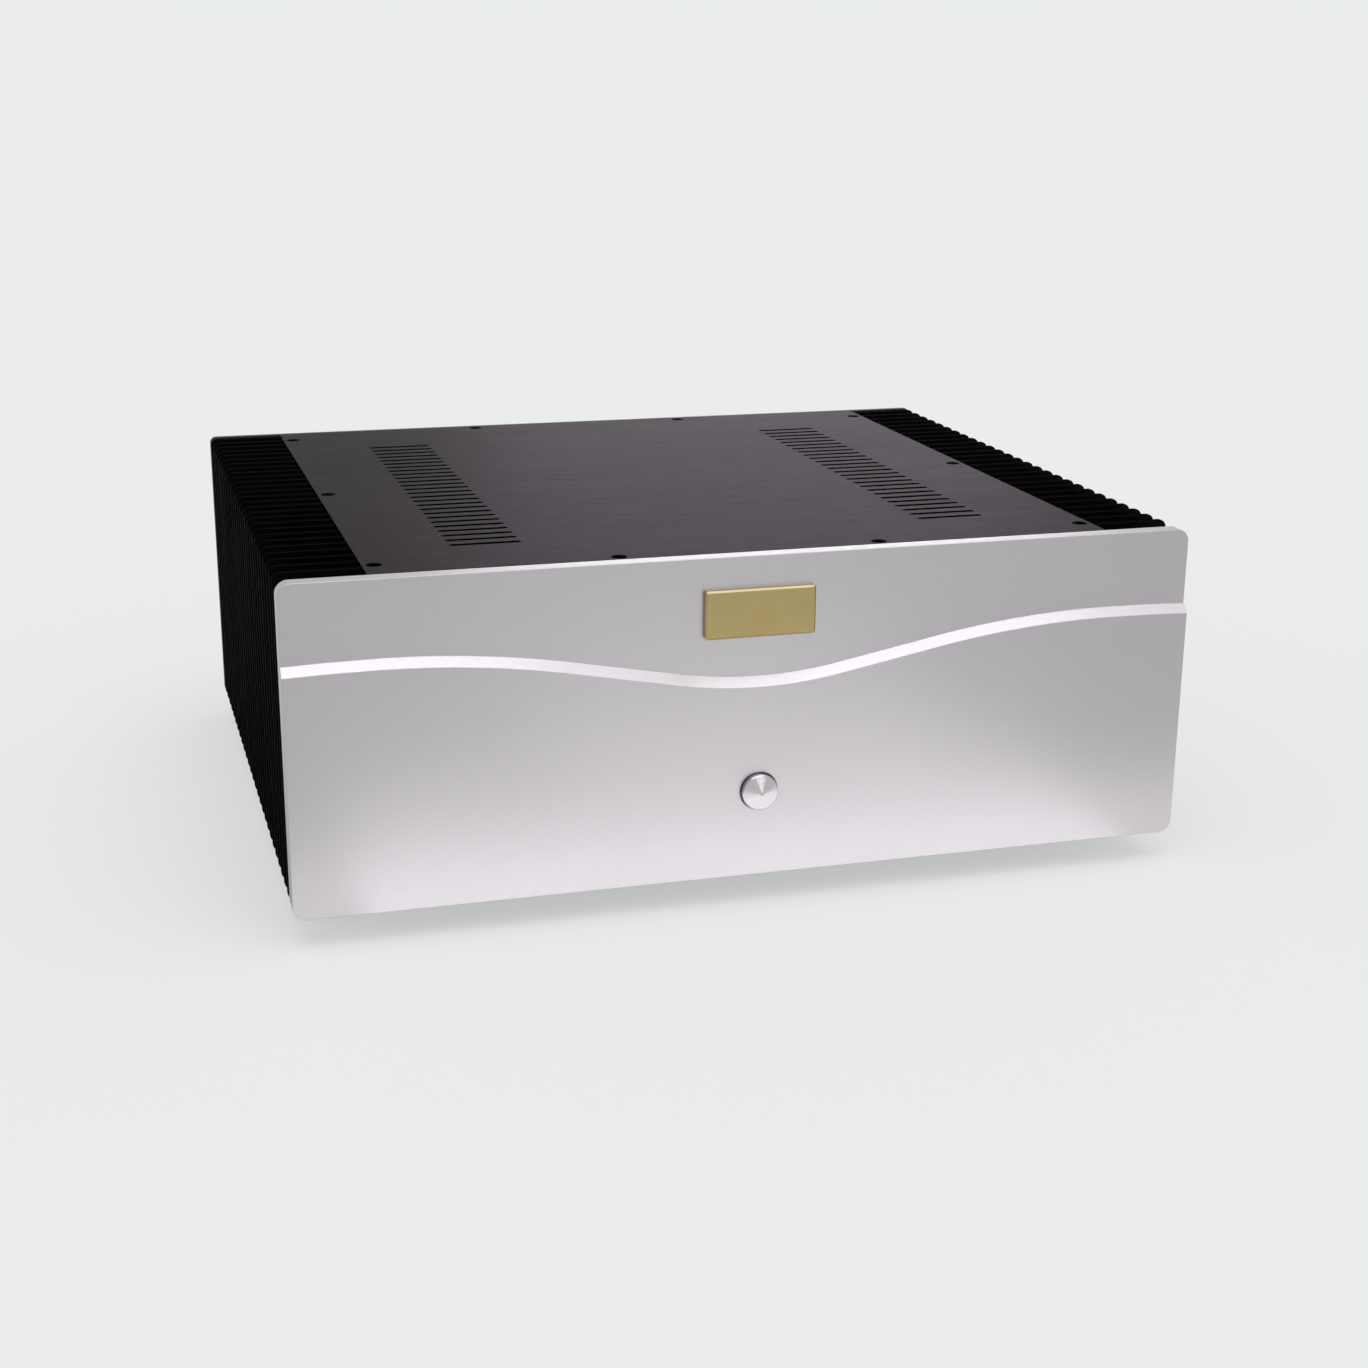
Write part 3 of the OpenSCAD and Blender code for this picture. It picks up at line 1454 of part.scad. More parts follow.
// Transformer to rectifiers, rectifiers to supply board, supply board to amplifier boards
module supply_leads() {
    tab_z = rectifier_tab_top + end_gap;
    on_board = board_top_z + end_gap;
    tab = rectifier_tab;
    edge_x = supply_w / 2 - 0.3 * turn;
    color("#a02020")
    both_sides() {
        lead([
            toroid_point(33, winding_z, end_gap),
            toroid_point(33, winding_z, 0.7 * turn),
            [rectifier_x - tab, rectifier_y - tab, tab_z + 1.2 * turn],
            [rectifier_x - tab, rectifier_y - tab, tab_z]]);
        lead([
            toroid_point(20, winding_z, end_gap),
            toroid_point(20, winding_z, 0.9 * turn),
            [rectifier_x + tab, rectifier_y - tab - 0.6 * turn, tab_z + 1.2 * turn],
            [rectifier_x + tab, rectifier_y - tab, tab_z + 0.8 * turn],
            [rectifier_x + tab, rectifier_y - tab, tab_z]]);
        for (i = [-1, 1]) let (
            x = supply_w / 2 - (0.85 - 0.25 * i) * turn,
            y = supply_front_y + (0.8 + 0.3 * i) * turn) {
            lead([
                [rectifier_x + i * tab, rectifier_y + tab, tab_z],
                [rectifier_x + i * tab, rectifier_y + tab, tab_z + 0.7 * turn],
                [x + (0.2 + 0.1 * i) * turn, y - (1 + 0.1 * i) * turn, on_board + 1.4 * turn],
                [x, y, on_board + 0.8 * turn],
                [x, y, on_board]]);
            lead([
                [edge_x, supply_y + i * turn, on_board],
                [edge_x, supply_y + i * turn, on_board + 0.9 * turn],
                [edge_x + 2.3 * turn, supply_y + i * turn, on_board + 1.2 * turn],
                [amp_board_inner_x - 1.4 * turn, supply_y - (1.6 - 1.2 * i) * turn,
                    amp_board_z - 0.6 * turn],
                [amp_board_inner_x - turn, supply_y - (2 - 1.2 * i) * turn,
                    amp_board_z + 1.2 * turn],
                [amp_board_inner_x - end_gap, supply_y - (2 - 1.2 * i) * turn,
                    amp_board_z + 1.2 * turn]]);
        }
    }
}

// Amplifier boards to protection board, protection board and supply board to the terminals
module speaker_leads() {
    on_board = board_top_z + end_gap;
    tail_y = rear_y - post_tail - end_gap;
    live_x = terminal_place(1, 1);
    return_x = terminal_place(1, -1);
    out_y = amp_board_y + 8.4 * turn;
    edge_x = supply_w / 2 - 0.3 * turn;
    edge_y = supply_back_y - 1.1 * turn;
    color("#c8c8c8")
    both_sides() {
        lead([
            [amp_board_inner_x - end_gap, out_y, amp_board_z + 0.8 * turn],
            [amp_board_inner_x - 0.9 * turn, out_y, amp_board_z + 0.8 * turn],
            [amp_board_inner_x - 1.6 * turn, out_y + 2.2 * turn, amp_board_z - 0.6 * turn],
            [9.5 * turn, protection_y - 1.3 * turn, on_board + 1.4 * turn],
            [5.6 * turn, protection_y - 0.5 * turn, on_board + 1.4 * turn],
            [5.4 * turn, protection_y - 0.5 * turn, on_board + 0.7 * turn],
            [5.4 * turn, protection_y - 0.5 * turn, on_board]]);
        lead([
            [5.2 * turn, protection_y + 0.8 * turn, on_board],
            [5.2 * turn, protection_y + 0.8 * turn, on_board + 1.2 * turn],
            [8 * turn, protection_y + 0.4 * turn, on_board + 2.4 * turn],
            [live_x, tail_y - 1.2 * turn, terminal_z],
            [live_x, tail_y, terminal_z]]);
        lead([
            [edge_x, edge_y, on_board],
            [edge_x, edge_y, on_board + 1.4 * turn],
            [return_x - 0.6 * turn, tail_y - 4 * turn, terminal_z + 0.8 * turn],
            [return_x, tail_y - turn, terminal_z],
            [return_x, tail_y, terminal_z]]);
    }
}

module signal_leads() {
    tail_y = rear_y - input_tail_l - end_gap;
    in_y = amp_board_y + 8.8 * turn;
    in_z = input_z + 0.6 * turn;
    color("#505058")
    both_sides()
    lead([
        [input_x, tail_y, input_z],
        [input_x, tail_y - 1.4 * turn, input_z],
        [amp_board_inner_x - 3 * turn, tail_y - 3.4 * turn, in_z],
        [amp_board_inner_x - 1.4 * turn, in_y, in_z],
        [amp_board_inner_x - end_gap, in_y, in_z]], signal_lead_d);
}

// ---------- Nodes ----------

front_panel();
name_plate();
power_button();
button_spring();
switch_bracket();
power_switch();
switch_nut();
top_cover();
cover_screws();
heat_sink_left();
heat_sink_right();
rear_panel();
bottom_plate();
bottom_screws();
cross_rails();
frame_screws();
rear_panel_screws();
feet();
foot_pads();
foot_bolts();
mains_inlet();
inlet_pins();
inlet_screws();
fuse_drawer();
fuse();
input_shells();
input_cores();
input_washers();
input_nuts();
terminal_insulators();
terminal_posts();
terminal_nuts();
clamp_washer(-1, 1);  // clamp_washer_left_plus
clamp_washer(-1, -1);  // clamp_washer_left_minus
clamp_washer(1, -1);  // clamp_washer_right_minus
clamp_washer(1, 1);  // clamp_washer_right_plus
terminal_knob(-1, 1, "#a01818");  // terminal_knob_left_plus
terminal_knob(-1, -1, "#1a1a1c");  // terminal_knob_left_minus
terminal_knob(1, -1, "#1a1a1c");  // terminal_knob_right_minus
terminal_knob(1, 1, "#a01818");  // terminal_knob_right_plus
transformer();
transformer_pads();
transformer_dish();
transformer_bolt();
supply_board();
filter_capacitors();
rectifiers();
board_standoffs();
board_screws();
amplifier_board_left();
amplifier_board_right();
output_transistors();
transistor_pads();
emitter_resistors();
protection_board();
relays();
mains_leads();
supply_leads();
speaker_leads();
signal_leads();
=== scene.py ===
"""Looks of a power amplifier: sculpted front panel, finned heat sinks, slotted cover and rear terminals."""
import json
import math

import bmesh
import bpy
from mathutils import Matrix, Vector

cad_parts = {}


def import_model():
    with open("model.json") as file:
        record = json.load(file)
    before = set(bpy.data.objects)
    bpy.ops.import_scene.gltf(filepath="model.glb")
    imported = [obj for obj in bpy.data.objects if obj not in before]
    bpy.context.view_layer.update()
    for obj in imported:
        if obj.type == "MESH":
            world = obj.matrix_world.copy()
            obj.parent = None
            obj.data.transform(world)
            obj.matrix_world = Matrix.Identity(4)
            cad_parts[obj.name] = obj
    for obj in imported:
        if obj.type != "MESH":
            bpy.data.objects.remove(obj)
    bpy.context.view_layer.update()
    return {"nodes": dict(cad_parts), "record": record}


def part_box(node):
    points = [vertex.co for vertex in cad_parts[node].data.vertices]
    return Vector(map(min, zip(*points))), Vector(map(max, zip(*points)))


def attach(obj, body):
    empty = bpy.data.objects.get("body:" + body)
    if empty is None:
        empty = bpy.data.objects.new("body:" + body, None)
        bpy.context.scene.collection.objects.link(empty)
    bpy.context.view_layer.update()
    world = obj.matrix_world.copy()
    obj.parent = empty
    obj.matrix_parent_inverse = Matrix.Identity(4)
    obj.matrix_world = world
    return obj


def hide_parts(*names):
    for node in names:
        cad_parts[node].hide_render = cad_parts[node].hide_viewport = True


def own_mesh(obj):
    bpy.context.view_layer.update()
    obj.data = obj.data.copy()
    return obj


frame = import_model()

MM = 0.001
NODES = frame["nodes"]
BEHAVIOUR = frame["record"]["behaviour"]
BODY_OF = {node: body for body, members in BEHAVIOUR["bodies"].items() for node in members}
SLOT_OF = {row["node"]: row["material_slot"] for row in frame["record"]["subparts"]}


# ---------- Colours and shader nodes ----------


def light(display):
    """How much light a display value from 0 to 1 stands for, by the sRGB curve."""
    return display / 12.92 if display <= 0.04045 else ((display + 0.055) / 1.055) ** 2.4


def tone(red, green, blue):
    """The linear colour, fully opaque, of display values from 0 to 255."""
    return light(red / 255), light(green / 255), light(blue / 255), 1.0


def scaled(colour, share, lift=0.0):
    """The tone of a colour whose display values are multiplied by share and raised by lift."""
    return tone(*[min(255, value * share + lift) for value in colour])


class Nodes:
    """A node tree, emptied first, and short ways to fill it."""

    def __init__(self, tree):
        self.tree = tree
        tree.nodes.clear()

    def feed(self, socket, value):
        """Links another node's output to the socket, or sets the socket's constant."""
        if isinstance(value, bpy.types.NodeSocket):
            self.tree.links.new(value, socket)
        else:
            socket.default_value = value

    def add(self, kind, **inputs):
        """A new node with its inputs fed. An input's name has _ for each space."""
        node = self.tree.nodes.new(kind)
        for name, value in inputs.items():
            self.feed(node.inputs[name.replace("_", " ")], value)
        return node

    def maths(self, operation, *values):
        """The result of one of the Math node's operations on constants or other nodes' outputs."""
        node = self.add("ShaderNodeMath")
        node.operation = operation
        for socket, value in zip(node.inputs, values):
            self.feed(socket, value)
        return node.outputs[0]

    def mixed_shader(self, share, one, other):
        """The shader node one, with this share of the shader node other."""
        node = self.add("ShaderNodeMixShader", Fac=share)
        self.feed(node.inputs[1], one.outputs[0])
        self.feed(node.inputs[2], other.outputs[0])
        return node.outputs[0]


class Finish(Nodes):
    """A procedural material. Its textures run in the object's own frame, in metres."""

    def __init__(self, name, colour, metallic, roughness, **inputs):
        self.material = bpy.data.materials.new(name)
        self.material.use_nodes = True
        self.material.diffuse_color = colour
        super().__init__(self.material.node_tree)
        self.shader = self.add("ShaderNodeBsdfPrincipled", Base_Color=colour, Metallic=metallic,
                               Roughness=roughness, **inputs)
        self.out = self.add("ShaderNodeOutputMaterial", Surface=self.shader.outputs[0])
        self.place = self.add("ShaderNodeTexCoord").outputs["Object"]

    def noise(self, size, stretch=(1, 1, 1), detail=3.0, rough=0.5, shift=(0, 0, 0)):
        """Noise whose cells are about size metres, longer along an axis whose stretch is below 1."""
        place = self.add("ShaderNodeMapping", Vector=self.place, Scale=stretch, Location=shift).outputs[0]
        node = self.add("ShaderNodeTexNoise", Vector=place, Scale=1 / size, Detail=detail, Roughness=rough)
        return node.outputs["Fac"]

    def span(self, value, low, high, start=0.3, end=0.7):
        """Low up to start, high from end on. Most of a noise lies between the usual start and end."""
        node = self.add("ShaderNodeMapRange", Value=value, From_Min=start, From_Max=end,
                        To_Min=low, To_Max=high)
        return node.outputs["Result"]

    def part(self, vector, axis):
        """The part of a vector along the axis "X", "Y" or "Z"."""
        return self.add("ShaderNodeSeparateXYZ", Vector=vector).outputs[axis]

    def facing_up(self, start, end):
        """From 0 to 1 as the upward part of the surface's direction goes from start to end."""
        normal = self.add("ShaderNodeNewGeometry").outputs["Normal"]
        return self.span(self.part(normal, "Z"), 0, 1, start, end)

    def mixed(self, share, one, other):
        """The colour one, with this share of the colour other. Each is a tone or a node's output."""
        node = self.add("ShaderNodeMix", Factor=share)
        node.data_type = "RGBA"
        colours = {socket.name: socket for socket in node.inputs if socket.type == "RGBA"}
        self.feed(colours["A"], one)
        self.feed(colours["B"], other)
        return next(socket for socket in node.outputs if socket.type == "RGBA")

    def tint(self, share, one, other):
        """Base colour that goes from one to other as share goes from 0 to 1."""
        self.feed(self.shader.inputs["Base Color"], self.mixed(share, one, other))

    def roughen(self, value, low, high):
        """Roughness that goes from low to high with a noise."""
        self.feed(self.shader.inputs["Roughness"], self.span(value, low, high))

    def relief(self, height, depth, strength):
        """Bump of about depth metres. Calls chain, coarse to fine."""
        node = self.add("ShaderNodeBump", Height=height, Distance=depth, Strength=strength)
        normal = self.shader.inputs["Normal"]
        if normal.is_linked:
            self.feed(node.inputs["Normal"], normal.links[0].from_socket)
        self.feed(normal, node.outputs[0])


# ---------- Finishes ----------


def anodised_silver(name):
    """Silver plate with a faint grain along X."""
    f = Finish(name, tone(181, 177, 181), metallic=1.0, roughness=0.36)
    cloud = f.noise(90 * MM, detail=2)
    grain = f.noise(0.9 * MM, stretch=(0.25, 1, 1), detail=2)
    f.tint(cloud, tone(178, 174, 178), tone(183, 179, 183))
    f.roughen(grain, 0.33, 0.40)
    f.relief(grain, depth=0.012 * MM, strength=0.35)
    return f.material


def turned_metal(name, node):
    """The metal of a node that was turned on a lathe, round an axis along Y through its middle."""
    groove = 0.25 * MM
    lean = 0.5 * MM
    low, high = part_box(node)
    middle = (low + high) / 2
    f = Finish(name, tone(183, 179, 183), metallic=1.0, roughness=0.27, Anisotropic=0.9)
    x = f.maths("SUBTRACT", f.part(f.place, "X"), middle.x)
    z = f.maths("SUBTRACT", f.part(f.place, "Z"), middle.z)
    radius = f.maths("SQRT", f.maths("ADD", f.maths("MULTIPLY", x, x), f.maths("MULTIPLY", z, z)))
    ridge = f.maths("SINE", f.maths("MULTIPLY", radius, 2 * math.pi / groove))
    f.relief(ridge, depth=0.002 * MM, strength=0.5)
    f.roughen(f.noise(1 * MM), 0.265, 0.285)
    # The tangent points away from the axis. The lean along Y gives it a direction on the axis too.
    outward = f.add("ShaderNodeCombineXYZ", X=x, Y=lean, Z=z).outputs[0]
    f.feed(f.shader.inputs["Tangent"], outward)
    return f.material


def aged_brass(name):
    """Brass with dull patches, and a painted highlight that makes it paler where it faces up."""
    f = Finish(name, tone(166, 151, 108), metallic=1.0, roughness=0.34, Specular_Tint=(0.9, 0.88, 0.8, 1.0))
    patch = f.noise(11 * MM, stretch=(0.7, 1, 1))
    other = f.noise(16 * MM, stretch=(0.8, 1, 1), detail=2, shift=(0.4, 0.2, 0.1))
    fine = f.noise(1.8 * MM, stretch=(1, 1, 0.5))
    worn = f.mixed(f.span(patch, 0, 1, 0.35, 0.65), tone(161, 143, 99), tone(166, 149, 104))
    dull = f.mixed(f.span(other, 0, 1, 0.5, 0.8), worn, tone(157, 145, 106))
    # Painted highlight: faces that point up get a paler brass, as if lit from above.
    f.tint(f.facing_up(0.4, 0.6), dull, tone(168, 156, 121))
    f.roughen(patch, 0.42, 0.32)
    f.relief(patch, depth=0.1 * MM, strength=0.12)
    f.relief(fine, depth=0.02 * MM, strength=0.25)
    return f.material


def brushed_black(name):
    """Black sheet brushed along X, with painted shade on its edges and slots' walls, which don't face up."""
    f = Finish(name, tone(38, 37, 38), metallic=1.0, roughness=0.4, Specular_Tint=(0.525, 0.5, 0.525, 1.0))
    long = f.noise(1.1 * MM, stretch=(0.012, 1, 1), rough=0.6)
    short = f.noise(0.7 * MM, stretch=(0.05, 1, 1), detail=2, shift=(0.3, 0.1, 0))
    cloud = f.noise(120 * MM, stretch=(0.6, 1, 1))
    streak = f.maths("MULTIPLY", f.maths("ADD", long, short), 0.5)
    brush = f.maths("MULTIPLY_ADD", cloud, 0.5, f.maths("MULTIPLY", streak, 0.5))
    level = f.mixed(f.span(brush, 0, 1), tone(32.2, 31.5, 32.6), tone(44.2, 43.5, 44.6))
    # Painted shade: faces that don't point up, such as the slots' walls, go near black.
    f.tint(f.facing_up(0.3, 0.7), tone(5, 5, 5), level)
    f.roughen(streak, 0.34, 0.48)
    f.relief(streak, depth=0.03 * MM, strength=0.5)
    return f.material


def anodised_black(name):
    """Black extrusion with fine lines along Z."""
    f = Finish(name, tone(18, 16, 18), metallic=1.0, roughness=0.42, Specular_Tint=(0.165, 0.15, 0.165, 1.0))
    line = f.noise(1.2 * MM, stretch=(1, 1, 0.01), detail=2)
    cloud = f.noise(50 * MM)
    f.tint(cloud, tone(15, 13, 15), tone(21, 19, 21))
    f.roughen(line, 0.36, 0.48)
    f.relief(line, depth=0.02 * MM, strength=0.4)
    return f.material


def textured_paint(name):
    """Dark paint with small lumps."""
    colour = (34, 34, 36)
    f = Finish(name, tone(*colour), metallic=0.0, roughness=0.5)
    lumps = f.noise(0.8 * MM, detail=2, rough=0.4)
    cloud = f.noise(70 * MM)
    f.tint(cloud, scaled(colour, 0.9), scaled(colour, 1.12))
    f.roughen(lumps, 0.42, 0.6)
    f.relief(lumps, depth=0.08 * MM, strength=0.6)
    return f.material


def moulded(name, colour, rough=(0.38, 0.5), grain=0.6 * MM, depth=0.02 * MM, **inputs):
    """Plastic, rubber, glass or ceramic with a fine skin."""
    f = Finish(name, tone(*colour), metallic=0.0, roughness=rough[0], **inputs)
    skin = f.noise(grain, detail=2)
    cloud = f.noise(20 * MM)
    f.tint(cloud, scaled(colour, 0.92), scaled(colour, 1.08, lift=1))
    f.roughen(skin, *rough)
    f.relief(skin, depth, strength=0.5)
    return f.material


def plated(name, colour, rough, grain=0.8 * MM, **inputs):
    """Bare, plated or blackened metal."""
    f = Finish(name, tone(*colour), metallic=1.0, roughness=rough[0], **inputs)
    skin = f.noise(grain)
    cloud = f.noise(6 * MM)
    f.tint(cloud, scaled(colour, 0.93), scaled(colour, 1.05))
    f.roughen(skin, *rough)
    f.relief(skin, depth=0.01 * MM, strength=0.4)
    return f.material


FINISHES = {
    "panel_metal": anodised_silver("anodised_silver"),
    "plate_brass": aged_brass("aged_brass"),
    "button_metal": turned_metal("turned_metal", "power_button"),
    "spring_wire": plated("bright_wire", (176, 176, 178), rough=(0.2, 0.3)),
    "bracket_steel": plated("zinc_sheet", (168, 168, 164), rough=(0.32, 0.46), grain=3 * MM),
    "switch_plastic": moulded("black_plastic", (26, 26, 28)),
    "cover_metal": brushed_black("brushed_black"),
    "sink_metal": anodised_black("anodised_black"),
    "case_paint": textured_paint("textured_paint"),
    "screw_black": plated("black_oxide", (15, 15, 16), rough=(0.34, 0.46),
                          Specular_Tint=(0.2, 0.2, 0.2, 1.0)),
    "screw_zinc": plated("zinc_plate", (178, 178, 174), rough=(0.26, 0.38)),
    "foot_plastic": moulded("foot_plastic", (30, 30, 32), rough=(0.45, 0.6),
                            grain=0.9 * MM, depth=0.04 * MM),
    "foot_rubber": moulded("rubber", (24, 24, 24), rough=(0.7, 0.85), grain=1.2 * MM, depth=0.06 * MM),
    "pin_plating": plated("nickel_plate", (186, 182, 172), rough=(0.16, 0.26)),
    "fuse_glass": moulded("fuse_glass", (222, 226, 222), rough=(0.03, 0.06), Transmission_Weight=0.85),
    "socket_gold": plated("gold_plate", (214, 176, 98), rough=(0.16, 0.26)),
    "socket_core": moulded("white_insulator", (222, 220, 214), rough=(0.35, 0.45)),
    "insulator_plastic": moulded("insulator_plastic", (32, 32, 34)),
    "knob_red": moulded("red_plastic", (150, 18, 14), rough=(0.22, 0.34)),
    "knob_black": moulded("black_gloss_plastic", (24, 24, 25), rough=(0.22, 0.34)),
    "winding_tape": moulded("winding_tape", (196, 168, 92), rough=(0.24, 0.4), grain=4 * MM, depth=0.3 * MM),
    "board_green": moulded("solder_mask", (20, 78, 40), rough=(0.3, 0.42)),
    "capacitor_sleeve": moulded("capacitor_sleeve", (24, 30, 58), rough=(0.25, 0.36)),
    "component_black": moulded("epoxy", (28, 28, 28), rough=(0.5, 0.62)),
    "pad_grey": moulded("silicone_sheet", (176, 176, 172), rough=(0.6, 0.75)),
    "resistor_ceramic": moulded("ceramic_case", (222, 218, 206), rough=(0.62, 0.8), depth=0.05 * MM),
    "relay_plastic": moulded("relay_case", (42, 82, 122), rough=(0.3, 0.4)),
    "lead_mains": moulded("brown_insulation", (92, 48, 26), rough=(0.4, 0.52)),
    "lead_supply": moulded("red_insulation", (150, 26, 22), rough=(0.4, 0.52)),
    "lead_speaker": moulded("grey_insulation", (136, 136, 140), rough=(0.4, 0.52)),
    "lead_signal": moulded("black_insulation", (34, 34, 36), rough=(0.45, 0.58)),
}

for node, obj in NODES.items():
    obj.data.materials.clear()
    obj.data.materials.append(FINISHES[SLOT_OF[node]])


# ---------- Pieces ----------


def in_scene(name, data):
    """A new object in the scene, made of this mesh, lamp or camera."""
    obj = bpy.data.objects.new(name, data)
    bpy.context.scene.collection.objects.link(obj)
    return obj


def as_piece(name, mesh, node):
    """A new piece that stands for a CAD node, with its body, slot and finish."""
    mesh.materials.clear()
    mesh.materials.append(FINISHES[SLOT_OF[node]])
    obj = in_scene(name, mesh)
    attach(obj, BODY_OF[node])
    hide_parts(node)
    return obj


# Faces that meet at less than this angle lie in one plane.
FLAT = math.radians(0.6)
# Corners closer than this are one corner.
CLOSE = 0.002 * MM
# An edge that turns by more than this is broken, by a round of this many faces.
SHARP = math.radians(30)
ROUND_FACES = 2
# How wide the round is on each node.
EDGES = {
    "front_panel": 0.28 * MM,
    "heat_sink_left": 0.3 * MM,
    "heat_sink_right": 0.3 * MM,
    "top_cover": 0.12 * MM,
    "rear_panel": 0.3 * MM,
    "bottom_plate": 0.3 * MM,
    "mains_inlet": 0.3 * MM,
    "fuse_drawer": 0.2 * MM,
}


def flat_edges(bm):
    """The edges inside a plane, which are only cuts across it."""
    return [edge for edge in bm.edges if len(edge.link_faces) == 2 and edge.calc_face_angle() < FLAT]


def join_planes(bm):
    """Joins the faces of each plane. The cuts that stay are those that leave their rims most squarely."""
    bmesh.ops.remove_doubles(bm, verts=bm.verts, dist=CLOSE)
    bmesh.ops.dissolve_limit(bm, angle_limit=FLAT, verts=bm.verts, edges=bm.edges)
    bmesh.ops.triangulate(bm, faces=bm.faces, quad_method="BEAUTY", ngon_method="BEAUTY")
    bmesh.ops.beautify_fill(bm, faces=bm.faces, edges=flat_edges(bm))
    cuts = flat_edges(bm)
    inner = set(cuts)

    def squareness(cut):
        """The smallest angle between a cut and the rims that it ends on."""
        angles = [math.pi]
        for start in cut.verts:
            along = cut.other_vert(start).co - start.co
            rims = [edge for edge in start.link_edges if edge not in inner]
            angles += [along.angle(rim.other_vert(start).co - start.co, 0) for rim in rims]
        return min(angles)

    for cut in sorted(cuts, key=squareness):
        one, other = cut.link_faces
        if len(set(one.edges) & set(other.edges)) == 1:
            bmesh.utils.face_join((one, other), True)


def eased(node, width):
    """The node's own shape with its sharp edges broken by a small round of that width."""
    bm = bmesh.new()
    bm.from_mesh(NODES[node].data)
    join_planes(bm)
    mesh = bpy.data.meshes.new(node + ".eased")
    bm.to_mesh(mesh)
    bm.free()
    mesh.shade_smooth()
    work = in_scene(node + ".work", mesh)
    bevel = work.modifiers.new("edge", "BEVEL")
    bevel.width = width
    bevel.segments = ROUND_FACES
    bevel.limit_method = "ANGLE"
    bevel.angle_limit = SHARP
    bevel.use_clamp_overlap = False
    bevel.face_strength_mode = "FSTR_ALL"
    flat = work.modifiers.new("flat", "WEIGHTED_NORMAL")
    flat.mode = "FACE_AREA"
    flat.weight = 100
    flat.thresh = 0.01
    flat.use_face_influence = True
    done = bpy.data.meshes.new_from_object(work.evaluated_get(bpy.context.evaluated_depsgraph_get()))
    bpy.data.objects.remove(work)
    bpy.data.meshes.remove(mesh)
    as_piece(node + "_eased", done, node)


def button():
    """The power button without the face of no area at its cone's tip, and with the normals it has."""
    tiny = 0.001 * MM
    source = NODES["power_button"].data
    solid = [face for face in source.polygons if face.area > tiny ** 2]
    normals = [source.corner_normals[corner].vector.copy() for face in solid for corner in face.loop_indices]
    bm = bmesh.new()
    bm.from_mesh(source)
    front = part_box("power_button")[0].y
    tip = [vert for vert in bm.verts if vert.co.y < front + tiny]
    bmesh.ops.remove_doubles(bm, verts=tip, dist=tiny)
    mesh = source.copy()
    bm.to_mesh(mesh)
    bm.free()
    mesh.normals_split_custom_set(normals)
    as_piece("power_button_turned", mesh, "power_button")


def spring():
    """The return spring between the button and the switch: a smooth-shaded copy of the coil."""
    coil = NODES["button_spring"].data.copy()
    coil.shade_smooth()
    piece = as_piece("button_spring_coil", coil, "button_spring")
    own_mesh(piece)


for node, width in EDGES.items():
    eased(node, width)
button()
spring()


# ---------- Studio ----------

BACKGROUND = tone(235, 237, 236)
# The share of the plain background colour in what the camera sees of the floor. The rest is lit and shaded.
PLAINNESS = 0.6
# The strength of the even light from all round.
AMBIENT = 0.60


def floor():
    """A matt floor that reaches far past the view on each side."""
    reach = 60
    bm = bmesh.new()
    bmesh.ops.create_grid(bm, x_segments=2, y_segments=2, size=reach)
    mesh = bpy.data.meshes.new("floor")
    bm.to_mesh(mesh)
    bm.free()
    f = Finish("floor", BACKGROUND, metallic=0.0, roughness=1.0, Specular_IOR_Level=0.0)
    plain = f.add("ShaderNodeEmission", Color=BACKGROUND)
    seen = f.add("ShaderNodeLightPath").outputs["Is Camera Ray"]
    share = f.maths("MULTIPLY", seen, PLAINNESS)
    f.feed(f.out.inputs["Surface"], f.mixed_shader(share, f.shader, plain))
    mesh.materials.append(f.material)
    obj = in_scene("floor", mesh)


def world():
    """Even light, and the plain background for the camera, for reflections and through glass."""
    studio = bpy.data.worlds.new("studio")
    bpy.context.scene.world = studio
    studio.use_nodes = True
    w = Nodes(studio.node_tree)
    plain = w.add("ShaderNodeBackground", Color=BACKGROUND, Strength=1.0)
    even = w.add("ShaderNodeBackground", Color=(1, 1, 1, 1), Strength=AMBIENT)
    ray = w.add("ShaderNodeLightPath").outputs
    seen = w.maths("MAXIMUM", ray["Is Camera Ray"], ray["Is Glossy Ray"])
    seen = w.maths("MAXIMUM", seen, ray["Is Transmission Ray"])
    w.add("ShaderNodeOutputWorld", Surface=w.mixed_shader(seen, even, plain))


def lit(name, lamp, source):
    """The lamp in the scene, with its light coming from the direction source."""
    obj = in_scene(name, lamp)
    obj.rotation_mode = "QUATERNION"
    obj.rotation_quaternion = source.to_track_quat("Z", "Y")
    return obj


def sun(name, direction, share, width):
    """A soft sun, width degrees across, that gives a level surface this share of full light."""
    source = Vector(direction).normalized()
    lamp = bpy.data.lights.new(name, "SUN")
    lamp.energy = math.pi * share / source.z
    lamp.angle = math.radians(width)
    lit(name, lamp, source)


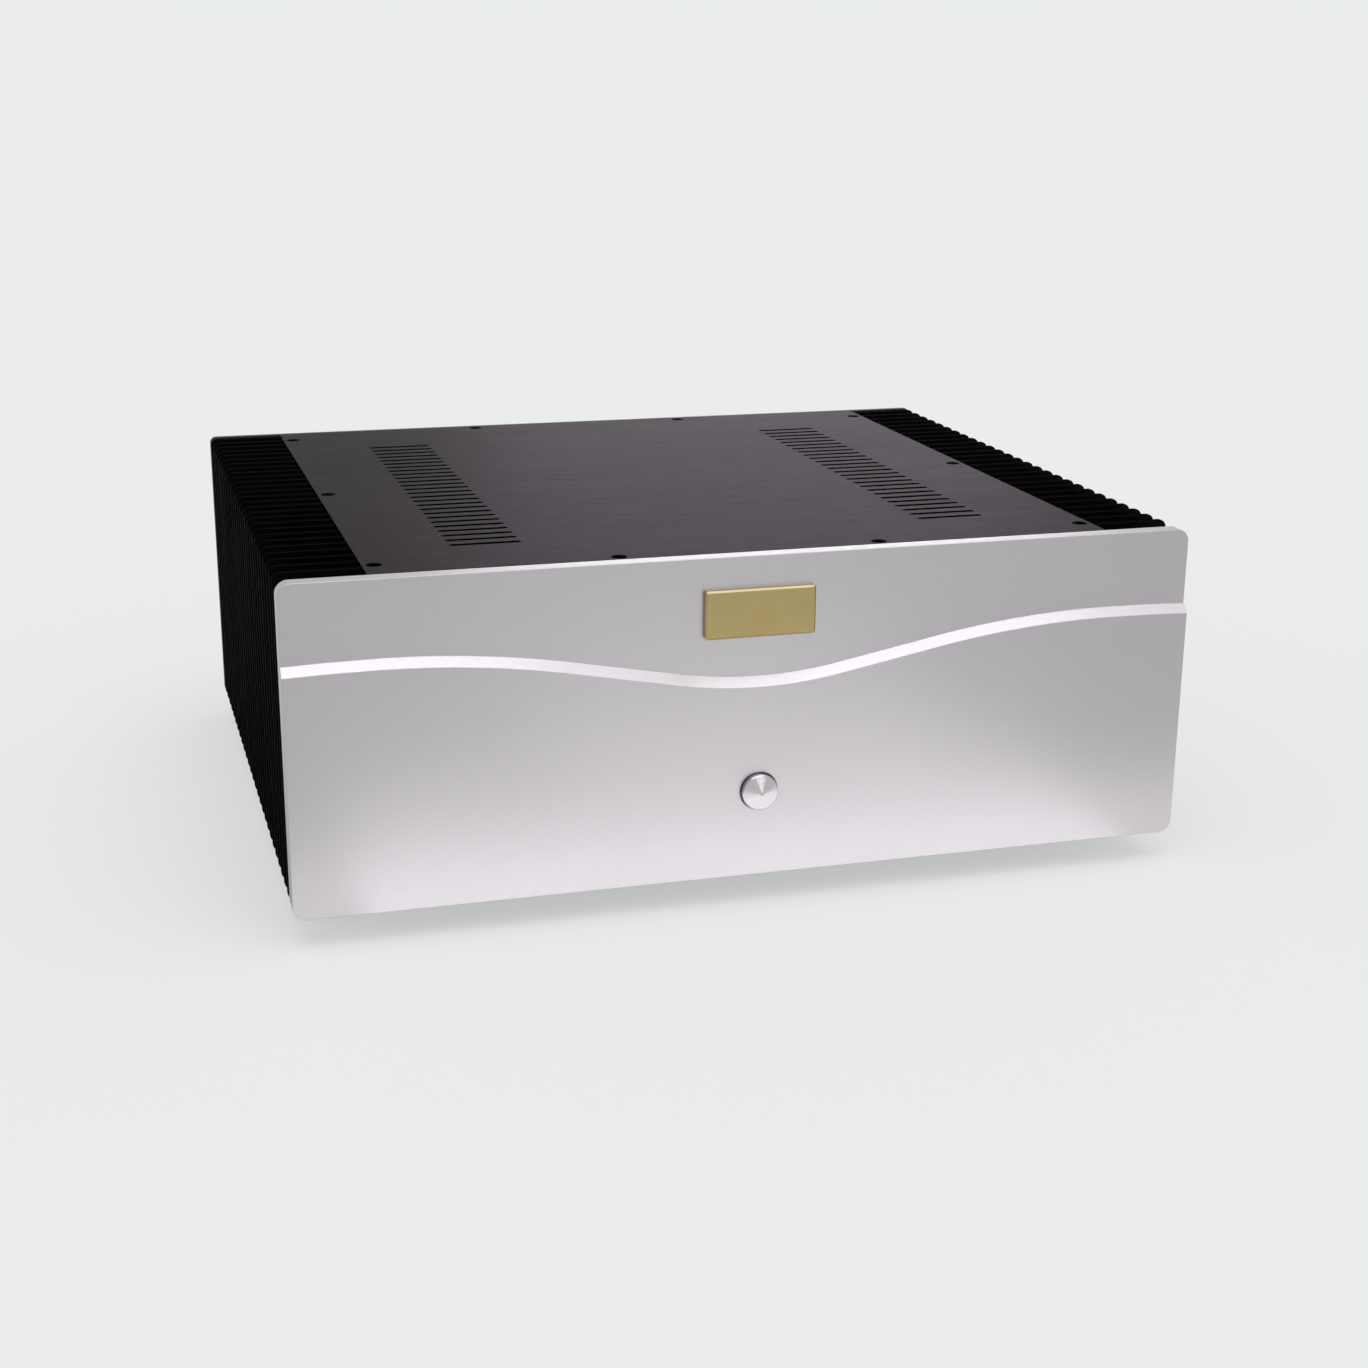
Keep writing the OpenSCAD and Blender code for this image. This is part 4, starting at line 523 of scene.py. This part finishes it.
def softbox(name, centre, towards, size, radiance):
    """A flat lamp of even brightness that shows only as a reflection."""
    lamp = bpy.data.lights.new(name, "AREA")
    lamp.shape = "RECTANGLE"
    lamp.size, lamp.size_y = size
    lamp.energy = radiance * math.pi * size[0] * size[1]
    obj = lit(name, lamp, Vector(centre) - Vector(towards))
    obj.location = centre
    obj.visible_camera = False
    obj.visible_diffuse = False


def lamps():
    """The key light, and the cards that the metal reflects."""
    sun("key", direction=(0.03, -0.30, 0.95), share=0.40, width=60)
    # Three cards lie just above the floor before the panel, and brighten its lower half.
    softbox("near_card", (0.045, -0.243, 0.004), (0.045, -0.24, 0.4), size=(0.66, 0.09), radiance=0.58)
    softbox("middle_card", (0.01, -0.29, 0.005), (0.01, -0.28, 0.4), size=(0.38, 0.18), radiance=0.50)
    softbox("far_card", (0.065, -0.48, 0.006), (0.065, -0.47, 0.4), size=(0.23, 0.25), radiance=0.40)
    # The front card brightens the panel's upper part and the name plate. The back card is the cover's sheen.
    softbox("front_card", (0.34, -1.20, 0.59), (0.0, -0.19, 0.07), size=(0.58, 0.34), radiance=3.0)
    softbox("back_card", (1.32, 3.65, 1.23), (0.1, 0, 0.17), size=(1.4, 1.1), radiance=1.95)


def camera():
    """The photo's own view, fitted to the corners of the panel and the case."""
    data = bpy.data.cameras.new("camera")
    data.sensor_width = 36.0
    data.lens = 56.65
    data.shift_x = -0.0096
    data.shift_y = 0.0161
    data.clip_start = 0.05
    data.clip_end = 200
    right, down, roll = math.radians(16.75), math.radians(17.40), math.radians(0.53)
    level = Matrix.Rotation(-right, 4, "Z") @ Matrix.Rotation(math.pi / 2 - down, 4, "X")
    # The eye is left of the middle, before the panel and above its lower edge.
    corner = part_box("front_panel")[0]
    place = Vector((-0.298, corner.y - 0.890, corner.z + 0.376))
    obj = in_scene("camera", data)
    obj.matrix_world = Matrix.Translation(place) @ level @ Matrix.Rotation(roll, 4, "Z")
    bpy.context.scene.camera = obj


floor()
world()
lamps()
camera()
bpy.context.scene.view_settings.view_transform = "Standard"
